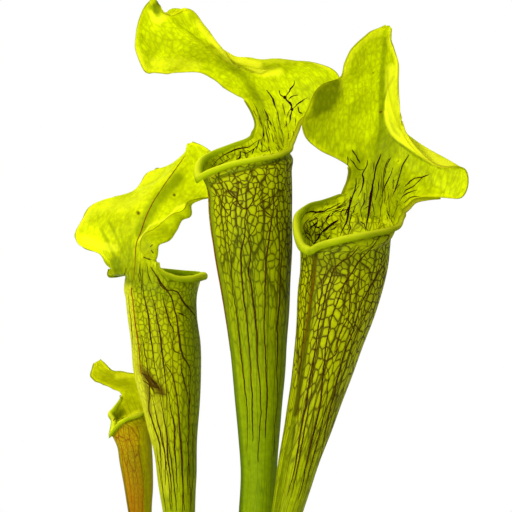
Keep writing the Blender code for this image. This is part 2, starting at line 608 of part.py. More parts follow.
def build_soil(collection, helpers, material):
    """The peat: it fills the pot and leaves a bed for the rhizome."""
    floor = POT_FLOOR + GAP
    inside = POT_WALL + GAP
    profile = (
        (0, SOIL_TOP + SOIL_DOME),
        (cone_radius(SOIL_TOP, inside) * 0.55, SOIL_TOP + SOIL_DOME * 0.7),
        (cone_radius(SOIL_TOP, inside), SOIL_TOP),
        (cone_radius(floor, inside), floor),
        (0, floor),
    )
    soil = turned("soil", profile, collection, material)
    bed = hide_helper(rhizome_bar("rhizome_bed", GAP, helpers))
    add_boolean(soil, bed, "DIFFERENCE")
    return soil


def main():
    clear_scene()
    plant = new_collection("potted_pitcher_plant")
    helpers = new_collection("helpers")
    clay = principled("clay", CLAY, 0.85)
    peat = principled("peat", PEAT, 0.95)
    bark = principled("rhizome bark", BARK, 0.8)
    leaf_green = principled("pitcher green", LEAF_GREEN, 0.45)
    leaf_amber = principled("pitcher amber", LEAF_AMBER, 0.45)
    build_pot(plant, helpers, clay)
    build_soil(plant, helpers, peat)
    build_rhizome(plant, helpers, bark)
    for leaf in LEAVES:
        build_leaf(leaf, plant, leaf_amber if leaf is SMALL else leaf_green)


main()
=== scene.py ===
import math
from functools import partial

import bmesh
import bpy
import numpy as np
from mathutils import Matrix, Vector
from mathutils.bvhtree import BVHTree


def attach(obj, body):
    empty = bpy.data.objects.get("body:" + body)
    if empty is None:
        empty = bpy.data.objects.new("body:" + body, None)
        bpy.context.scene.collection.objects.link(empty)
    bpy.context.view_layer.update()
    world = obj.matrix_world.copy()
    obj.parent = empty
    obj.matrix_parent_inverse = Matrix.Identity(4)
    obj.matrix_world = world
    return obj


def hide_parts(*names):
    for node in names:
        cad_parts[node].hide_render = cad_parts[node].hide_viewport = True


# Potted trumpet pitcher plant: looks. Lengths are in millimetres until a mesh is made, then metres.

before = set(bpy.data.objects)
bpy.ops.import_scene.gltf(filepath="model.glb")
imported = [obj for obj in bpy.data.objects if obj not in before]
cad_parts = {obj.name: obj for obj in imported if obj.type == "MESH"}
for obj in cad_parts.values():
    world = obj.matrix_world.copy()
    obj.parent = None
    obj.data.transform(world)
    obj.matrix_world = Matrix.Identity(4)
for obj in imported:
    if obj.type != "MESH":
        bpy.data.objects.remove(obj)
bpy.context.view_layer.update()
mm = 0.001
print("frame loaded:", ", ".join(sorted(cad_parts)))


def linearColour(code):  # sRGB hex to the linear values that shaders take
    channels = [int(code[i : i + 2], 16) / 255 for i in (0, 2, 4)]
    return (*[c / 12.92 if c <= 0.04045 else ((c + 0.055) / 1.055) ** 2.4 for c in channels], 1)


# settings: property or input name, or input number. links: input from a socket, or from a node's first result
def addNode(tree, kind, settings=None, links=None):
    node = tree.nodes.new("ShaderNode" + kind)
    for key, value in (settings or {}).items():
        if isinstance(key, str) and hasattr(node, key):
            setattr(node, key, value)
    for key, value in (settings or {}).items():
        if not (isinstance(key, str) and hasattr(node, key)):
            node.inputs[key].default_value = value
    for key, source in (links or {}).items():
        if isinstance(source, bpy.types.Node):
            source = next(socket for socket in source.outputs if socket.enabled)
        tree.links.new(source, node.inputs[key])
    return node


# settings that many nodes share
colourMix = {"data_type": "RGBA"}
smooth = {"interpolation_type": "SMOOTHSTEP"}
noiseRange = {"From Min": 0.3, "From Max": 0.7}  # most of a noise's values lie between these


def newMaterial(name):  # an empty material, and the function that adds nodes to it
    material = bpy.data.materials.new(name)
    material.use_nodes = True
    material.node_tree.nodes.clear()
    return material, partial(addNode, material.node_tree)


def smoothStep(low, high, value):
    t = np.clip((value - low) / (high - low), 0, 1)
    return t * t * (3 - 2 * t)


def smoothThrough(stations, knots, at):  # smooth curve through the stations, which lie at knots
    stations, knots, at = (np.asarray(v, float) for v in (stations, knots, at))
    steps = np.diff(knots)
    wide = (-1, *[1] * (stations.ndim - 1))
    slopes = np.diff(stations, axis=0) / steps.reshape(wide)
    tangents = np.empty_like(stations)
    tangents[0], tangents[-1] = slopes[0], slopes[-1]
    before, after = steps[:-1].reshape(wide), steps[1:].reshape(wide)
    tangents[1:-1] = (slopes[:-1] * after + slopes[1:] * before) / (before + after)
    i = np.clip(np.searchsorted(knots, at, side="right") - 1, 0, len(steps) - 1)
    t = ((at - knots[i]) / steps[i]).reshape(wide)
    length = steps[i].reshape(wide)
    return (
        (2 * t**3 - 3 * t**2 + 1) * stations[i]
        + (t**3 - 2 * t**2 + t) * length * tangents[i]
        + (3 * t**2 - 2 * t**3) * stations[i + 1]
        + (t**3 - t**2) * length * tangents[i + 1]
    )


def unit(vectors):
    return vectors / np.maximum(np.linalg.norm(vectors, axis=-1, keepdims=True), 1e-9)


def lengthAlong(points):  # the way along the points to each of them
    return np.concatenate([[0], np.cumsum(np.linalg.norm(np.diff(points, axis=0), axis=1))])


def quadFaces(index, flip=False):  # faces between the rows and columns of a grid of point numbers
    corners = [index[:-1, :-1], index[:-1, 1:], index[1:, 1:], index[1:, :-1]]
    if flip:
        corners = [corners[0], *corners[:0:-1]]
    return np.stack(corners, axis=-1).reshape(-1, 4).tolist()


def tubeFaces(rows, columns):  # rings of points joined to a tube, with both ends closed
    index = np.arange(rows * columns).reshape(rows, columns)
    index = np.concatenate([index, index[:, :1]], axis=1)
    return quadFaces(index) + [index[0, :-1][::-1].tolist(), index[-1, :-1].tolist()]


def turnedFaces(steps, rings):  # rings of points between a first and a last point on the axis
    faces = []
    last = 1 + (rings - 1) * steps
    for k in range(steps):
        n = (k + 1) % steps
        faces.append((0, 1 + k, 1 + n))
        for a in range(1, last, steps):
            faces.append((a + k, a + steps + k, a + steps + n, a + n))
        faces.append((last + n, last + k, last + steps))
    return faces


def meshPiece(name, points, faces, materials, fields=None):  # points in mm, fields: name -> n x 3 values
    mesh = bpy.data.meshes.new(name)
    mesh.from_pydata((np.asarray(points) * mm).tolist(), [], faces)
    for field, values in (fields or {}).items():
        attribute = mesh.attributes.new(field, "FLOAT_VECTOR", "POINT")
        attribute.data.foreach_set("vector", np.ascontiguousarray(values, np.float32).ravel())
    for material in materials:
        mesh.materials.append(material)
    mesh.shade_smooth()
    obj = bpy.data.objects.new(name, mesh)
    bpy.context.scene.collection.objects.link(obj)
    return obj


def applyModifiers(obj, sharpAngle):
    graph = bpy.context.evaluated_depsgraph_get()
    graph.update()
    done = obj.evaluated_get(graph)
    mesh = bpy.data.meshes.new_from_object(done, preserve_all_data_layers=True, depsgraph=graph)
    obj.modifiers.clear()
    obj.data = mesh
    mesh.shade_smooth()
    mesh.set_sharp_from_angle(angle=math.radians(sharpAngle))


def scatterLumps(name, places, sizes, squash, seed, material):  # many small uneven lumps in one mesh
    draw = np.random.default_rng(seed)
    work = bmesh.new()
    bmesh.ops.create_icosphere(work, subdivisions=1, radius=1)
    ball = np.array([v.co for v in work.verts])
    ballFaces = np.array([[v.index for v in f.verts] for f in work.faces])
    work.free()
    points, faces = [], []
    for k, (place, size) in enumerate(zip(places, sizes)):
        lump = ball * (1 + draw.uniform(-0.28, 0.28, (len(ball), 1)))
        lump = lump * draw.uniform(0.7, 1.3, 3) * size
        turn = draw.uniform(0, math.tau)
        c, s = math.cos(turn), math.sin(turn)
        x, y = c * lump[:, 0] - s * lump[:, 1], s * lump[:, 0] + c * lump[:, 1]
        points.append(np.stack([x, y, lump[:, 2] * squash], 1) + place)
        faces.append(ballFaces + k * len(ball))
    return meshPiece(name, np.concatenate(points), np.concatenate(faces).tolist(), [material])


view = {
    "aim": (15.6, 421.4),  # x and height at the middle of the photograph
    "distance": 2200.0,
    "frameWidth": 332.8,  # seen at the distance of the pot's middle
    "sensor": 36.0,
    "reach": 20.0,  # metres
}
light = {
    "skyStrength": 0.5,
    "skySeen": 1.0,  # plain white behind the plant
    "key": {"place": (-900, -1500, 900), "size": 800, "watts": 34},
    "back": {"place": (-500, 1400, 1200), "size": 900, "watts": 48},
    "aim": (0, 0, 380),
    "floorSide": 6000.0,
    "floorLevel": -0.5,  # just under the pot's foot
    "paper": "ECEAE6",
}

camera = bpy.data.objects.new("camera", bpy.data.cameras.new("camera"))
bpy.context.scene.collection.objects.link(camera)
camera.data.sensor_width = view["sensor"]
camera.data.lens = view["sensor"] * view["distance"] / view["frameWidth"]
camera.data.clip_end = view["reach"]
camera.location = (view["aim"][0] * mm, -view["distance"] * mm, view["aim"][1] * mm)
camera.rotation_euler = (math.radians(90), 0, 0)
bpy.context.scene.camera = camera
bpy.context.scene.view_settings.view_transform = "Standard"

world = bpy.data.worlds.new("softSky")
world.use_nodes = True
world.node_tree.nodes.clear()
add = partial(addNode, world.node_tree)
seen = add("Background", {"Color": (1, 1, 1, 1), "Strength": light["skySeen"]})
lit = add("Background", {"Color": (1, 1, 1, 1), "Strength": light["skyStrength"]})
sky = add("MixShader", links={0: add("LightPath").outputs["Is Camera Ray"], 1: lit, 2: seen})
add("OutputWorld", links={"Surface": sky})
bpy.context.scene.world = world

for name in ("key", "back"):
    lamp = bpy.data.objects.new(name + "Light", bpy.data.lights.new(name + "Light", "AREA"))
    lamp.data.size = light[name]["size"] * mm
    lamp.data.energy = light[name]["watts"]
    lamp.location = Vector(light[name]["place"]) * mm
    lamp.visible_glossy = name == "key"  # the light behind the plant only shines through it
    lamp.rotation_euler = (Vector(light["aim"]) * mm - lamp.location).to_track_quat("-Z", "Y").to_euler()
    bpy.context.scene.collection.objects.link(lamp)

paperFloor, add = newMaterial("matte paper floor")  # pale and even, so that nothing competes with the plant
paper = add("BsdfPrincipled", {"Base Color": linearColour(light["paper"]), "Roughness": 0.9, "IOR": 1.4})
add("OutputMaterial", links={"Surface": paper})
half, level = light["floorSide"] / 2, light["floorLevel"]
corners = [(-half, -half, level), (half, -half, level), (half, half * 0.9, level), (-half, half * 0.9, level)]
floor = meshPiece("floor", corners, [(0, 1, 2, 3)], [paperFloor])
print("camera and light ready")


# Living leaf, grown, with a thin wax layer. The wax gives a soft sheen, and the sheet lets light through,
# so margins and lids glow; the lid's margins also get a painted glow in their colour. Veins are dark because
# they hold a purple-red pigment.
leafSkin = {
    "colours": {
        "cell": "B8C200",  # middle of a cell between the veins
        "cellEdge": "767600",  # the brown-green shadow beside a vein
        "liningCell": "F0FA00",  # paler inside the trap
        "liningEdge": "B0B400",
        "vein": "342200",
        "stem": "88A200",  # the plain lower tube
        "stemVein": "4E6A00",
        "lid": "E0EA00",
        "lidCloud": "C8D200",
        "lidVein": "9AAA00",
        # margin: the painted glow of the lid's margins
        "margin": "FFFF10",
        "lip": "B6C800",
        "purple": "360410",
        # dark: painted shade and painted shadow, and a few soft green veins on the left pitcher's lid
        "dark": "466600",
        # bright: painted highlights and painted glow
        "bright": "FFFF30",
        # brown: stains and smudges, the lid's dark edge line, and painted shade under two of the lips
        "brown": "482600",
        "amber": "B86400",
    },
    "roughness": (0.43, 0.6),
    "lipRoughness": 0.3,  # added on the lip
    "waxIor": 1.4,
    "shine": 0.07,  # the wax is thin and patchy, so it shines less than its IOR alone would give
    "through": 0.36,  # share of light that goes through the sheet
    "throughInside": 0.6,
    "mottle": 330.0,  # noise to a metre: dots 3 mm apart, and clouds of 14 mm on the lid
    "cloud": 70.0,
    "puff": (0.5, 0.0006),  # strength and height, in metres, of the relief between the veins
    # The nets' lengths are in main cells, which are 9 mm wide near the mouth of a large pitcher.
    # Real veins are about half as wide, which wouldn't show.
    "pulls": ((0.55, 2.0, (0.9, 0.3, 0)), (2.6, 1.0, (0.34, 0.1, 0))),  # noise's scale and detail, reach
    "fineCells": 2.6,  # in a main cell
    "fineSway": (2.6, 3.0, 0),
    "netStep": 0.04,
    "patch": 0.8,
    "mainWidth": (0.046, 0.074),
    "lowWidth": 0.6,  # of a main vein in the plain lower tube
    "fineWidth": (0.19, 0.135),
    "mainNet": (2.2, 0.7, 0.28),  # length of a cell, how uneven the cells are, how dark the cross veins are
    "fineNet": (1.3, 0.95, 1.0),
    "gaps": (1.7, 0.44, 0.56),
    "insideShares": (0.4, 0.5),  # the net shows less from inside: main veins' shadows, fine net
    "fineShadow": 0.55,
    "neckShadow": 0.25,
    "lidShadow": 0.36,
    "cloudShare": 0.6,
    "rims": {  # from and to this distance from the margin, which is less than 0 on the lip, and strength
        # glow: painted glow along the lid's margins
        "glow": (0.0, 3.0, 0.6),
        "edge": (0.1, 0.8, 0.4),
        "lip": (-0.4, 1.2, 1.0),
    },
}


# how dark the veins are, and how close, for a net whose cells are one unit wide and slim times as long
def veinNet(add, place, width, slim, uneven, crossShare):
    cells = {"voronoi_dimensions": "2D", "feature": "DISTANCE_TO_EDGE", "Scale": 1.0, "Randomness": uneven}
    step = leafSkin["netStep"]
    onward = add("VectorMath", {"operation": "ADD", 1: (0, step, 0)}, {0: place})
    here = add("TexVoronoi", cells, {"Vector": place})
    ahead = add("TexVoronoi", cells, {"Vector": onward})
    rise = add("Math", {"operation": "SUBTRACT"}, {0: ahead, 1: here})
    lean = add("Math", {"operation": "MULTIPLY", 1: 1 / step}, {0: rise})
    square = add("Math", {"operation": "MULTIPLY", "use_clamp": True}, {0: lean, 1: lean})
    shrink = add("Math", {"operation": "MULTIPLY_ADD", 1: 1 / slim**2 - 1, 2: 1.0}, {0: square})
    root = add("Math", {"operation": "SQRT"}, {0: shrink})  # cross veins are no wider than long ones
    wide = add("Math", {"operation": "MULTIPLY"}, {0: root, 1: width})
    near = add("Math", {"operation": "DIVIDE"}, {0: here, 1: wide})
    away = smooth | {"To Min": 1.0, "To Max": 0.0}
    line = add("MapRange", away | {"From Min": 0.3, "From Max": 1.0}, {"Value": near})
    halo = add("MapRange", away | {"From Min": 0.0, "From Max": 2.8}, {"Value": near})
    pale = add("Math", {"operation": "MULTIPLY_ADD", 1: crossShare - 1, 2: 1.0}, {0: square})
    return add("Math", {"operation": "MULTIPLY"}, {0: line, 1: pale}), halo


def leafTissue(name, inside):
    skin = leafSkin
    tone = {part: linearColour(code) for part, code in skin["colours"].items()}
    material, add = newMaterial(name)
    fields = []
    for field in ("veinPlace", "leafPlace", "veinShare", "leafShade"):
        fields.append(add("Attribute", {"attribute_name": field}).outputs["Vector"])
    around, mainDown, fineDown = add("SeparateXYZ", links={0: fields[0]}).outputs
    lid, margin, low = add("SeparateXYZ", links={0: fields[1]}).outputs
    mainShare, fineShare, purple = add("SeparateXYZ", links={0: fields[2]}).outputs
    dark, bright, brown = add("SeparateXYZ", links={0: fields[3]}).outputs
    spot = add("TexCoord").outputs["Object"]

    # places in the two nets, pulled about so that no vein is straight
    mainPlace = add("CombineXYZ", links={0: around, 1: mainDown})
    pulls = []
    for scale, detail, reach in skin["pulls"]:
        noise = add("TexNoise", {"Scale": scale, "Detail": detail}, {"Vector": mainPlace})
        pull = {"operation": "MULTIPLY_ADD", 1: reach, 2: [-r / 2 for r in reach]}
        pulls.append(add("VectorMath", pull, {0: noise.outputs["Color"]}))
    pulled = add("VectorMath", {"operation": "ADD"}, {0: pulls[0], 1: pulls[1]})
    mainNet = add("VectorMath", {"operation": "ADD"}, {0: mainPlace, 1: pulled})
    fineAround = add("Math", {"operation": "MULTIPLY", 1: skin["fineCells"]}, {0: around})
    finePlace = add("CombineXYZ", links={0: fineAround, 1: fineDown})
    fineSway = add("VectorMath", {"operation": "MULTIPLY", 1: skin["fineSway"]}, {0: pulled})
    fineNet = add("VectorMath", {"operation": "ADD"}, {0: finePlace, 1: fineSway})

    # veins swell and thin along their way, and the main ones are thinner below
    patch = add("TexNoise", {"Scale": skin["patch"], "Detail": 2.0}, {"Vector": mainPlace})
    widths = []
    for least, most in (skin["mainWidth"], skin["fineWidth"]):
        widths.append(add("MapRange", noiseRange | {"To Min": least, "To Max": most}, {"Value": patch}))
    lowThin = add("MapRange", {"To Min": 1.0, "To Max": skin["lowWidth"]}, {"Value": low})
    mainWidth = add("Math", {"operation": "MULTIPLY"}, {0: widths[0], 1: lowThin})
    mainLine, mainHalo = veinNet(add, mainNet, mainWidth, *skin["mainNet"])
    fineLine, fineHalo = veinNet(add, fineNet, widths[1], *skin["fineNet"])
    if inside:
        mainHalo = add("Math", {"operation": "MULTIPLY", 1: skin["insideShares"][0]}, {0: mainHalo})
        fineShare = add("Math", {"operation": "MULTIPLY", 1: skin["insideShares"][1]}, {0: fineShare})

    # in the neck the veins are broken into dashes
    scale, least, most = skin["gaps"]
    gaps = add("TexNoise", {"Scale": scale, "Detail": 2.0}, {"Vector": mainNet})
    kept = add("MapRange", smooth | {"From Min": least, "From Max": most}, {"Value": gaps})
    whole = add("Math", {"operation": "SUBTRACT", 0: 1.0}, {1: purple})
    dashes = add("Math", {"operation": "MAXIMUM"}, {0: kept, 1: whole})
    mainMask = add("Math", {"operation": "MULTIPLY"}, {0: mainLine, 1: mainShare})
    fineMask = add("Math", {"operation": "MULTIPLY"}, {0: fineLine, 1: fineShare})
    bothMask = add("Math", {"operation": "MAXIMUM"}, {0: mainMask, 1: fineMask})
    veins = add("Math", {"operation": "MULTIPLY", "use_clamp": True}, {0: bothMask, 1: dashes})
    mainShadow = add("Math", {"operation": "MULTIPLY"}, {0: mainHalo, 1: mainShare})
    fineShadow = add("Math", {"operation": "MULTIPLY"}, {0: fineHalo, 1: fineShare})
    join = {"operation": "MULTIPLY_ADD", "use_clamp": True}
    shadow = add("Math", join | {1: skin["fineShadow"]}, {0: fineShadow, 2: mainShadow})
    shadowOpen = add("MapRange", {"To Min": 1.0, "To Max": skin["neckShadow"]}, {"Value": purple})
    shadowMask = add("Math", {"operation": "MULTIPLY"}, {0: shadow, 1: shadowOpen})

    # ground: cells, then the plain stem below and the clouded lid above
    mottle = add("TexNoise", {"Scale": skin["mottle"], "Detail": 3.0}, {"Vector": spot})
    cloud = add("TexNoise", {"Scale": skin["cloud"], "Detail": 3.0}, {"Vector": spot})
    side = ("liningCell", "liningEdge") if inside else ("cell", "cellEdge")
    cell = add("Mix", colourMix | {6: tone[side[0]], 7: tone[side[1]]}, {0: shadowMask})
    stem = add("Mix", colourMix | {7: tone["stem"]}, {0: low, 6: cell})
    cloudMask = add("MapRange", smooth | {"From Min": 0.38, "From Max": 0.62}, {"Value": cloud})
    cloudShare = add("Math", {"operation": "MULTIPLY", 1: skin["cloudShare"]}, {0: cloudMask})
    lidShade = add("Math", join | {1: skin["lidShadow"]}, {0: fineHalo, 2: cloudShare})
    lidTone = add("Mix", colourMix | {6: tone["lid"], 7: tone["lidCloud"]}, {0: lidShade})
    ground = add("Mix", colourMix, {0: lid, 6: stem, 7: lidTone})
    grain = add("MapRange", noiseRange | {"To Min": 0.84, "To Max": 1.1}, {"Value": mottle})
    grained = add("Mix", colourMix | {"blend_type": "MULTIPLY", 0: 1.0}, {6: ground, 7: grain})

    # veins over it
    stemVein = add("Mix", colourMix | {6: tone["vein"], 7: tone["stemVein"]}, {0: low})
    lidVein = add("Mix", colourMix | {7: tone["lidVein"]}, {0: lid, 6: stemVein})
    veinTone = add("Mix", colourMix | {7: tone["purple"]}, {0: purple, 6: lidVein})
    colour = add("Mix", colourMix, {0: veins, 6: grained, 7: veinTone})

    # broad marks of painted shade, painted highlights and stains, the lid margin's painted glow, and the
    # smooth lip
    rims = {}
    for part, (near, far, share) in skin["rims"].items():
        fade = smooth | {"From Min": near, "From Max": far, "To Min": share, "To Max": 0.0}
        rims[part] = add("MapRange", fade, {"Value": margin})
    lidGlow = add("Math", {"operation": "MULTIPLY"}, {0: rims["glow"], 1: lid})
    lidEdge = add("Math", {"operation": "MULTIPLY"}, {0: rims["edge"], 1: lid})
    layers = (
        (brown, "amber" if name.startswith("amber") else "brown"),
        (lidGlow, "margin"),
        (rims["lip"], "lip"),
        (dark, "dark"),
        (bright, "bright"),
        (lidEdge, "brown"),
    )
    for mask, layer in layers:
        colour = add("Mix", colourMix | {7: tone[layer]}, {0: mask, 6: colour})

    # cells are puffed up between sunken veins outside, and the other way round inside
    puff = add("Math", {"operation": "MULTIPLY_ADD", 1: 0.3}, {0: mottle, 2: shadowMask})
    strength, height = skin["puff"]
    bump = add("Bump", {"Strength": strength, "Distance": height, "invert": not inside}, {"Height": puff})
    least, most = skin["roughness"]
    patchy = add("MapRange", noiseRange | {"To Min": least, "To Max": most}, {"Value": mottle})
    duller = add("Math", {"operation": "MULTIPLY_ADD", 1: skin["lipRoughness"]}, {0: rims["lip"], 2: patchy})
    gloss = {"IOR": skin["waxIor"], "Specular IOR Level": skin["shine"]}
    wax = add("BsdfPrincipled", gloss, {"Base Color": colour, "Roughness": duller, "Normal": bump})
    glow = add("BsdfTranslucent", links={"Color": colour, "Normal": bump})
    sheet = add("MixShader", {0: skin["throughInside" if inside else "through"]}, {1: wax, 2: glow})
    add("OutputMaterial", links={"Surface": sheet})
    return material


waxSkin = leafTissue("waxy pitcher skin", False)
trapLining = leafTissue("waxy trap lining", True)
amberSkin = leafTissue("amber pitcher skin", False)


# The sheet is the same as the one that the solids were made from, in finer rows and columns.
leafGrid = {
    "bodyColumns": 46,  # on each half
    "seamColumns": 12,
    "bodyShare": 0.86,
    "seamStart": 166.0,  # degrees from the back
    "ringRows": 7,
    "mouthRows": 8,
    "lidRows": 8,
    "lipTurn": 230.0,
    "lipSteps": 12,
    # painted shade under the lip's roll and painted highlight on its top
    "lipShade": (0.45, 190, 230),  # strength, and the degrees round the roll where it starts and is full
    "lipLight": (0.8, 118, 45),  # strength, and the degrees where it lies and how far it spreads
    "thickness": 0.9,
    "unevenness": 0.28,
    "mainVeins": 18.0,  # round the tube
    "cellLengths": (  # depth below the mouth, length of a cell there: main net, then the fine net in it
        ((-90, -45, -12, 0, 20, 40, 60, 100, 180, 300), (14, 16, 24, 11, 17, 34, 56, 100, 160, 220)),
        ((-90, -45, -12, 0, 20, 50, 100, 180, 300), (5, 6, 8, 3.8, 4.0, 5.2, 9, 24, 50)),
    ),
}
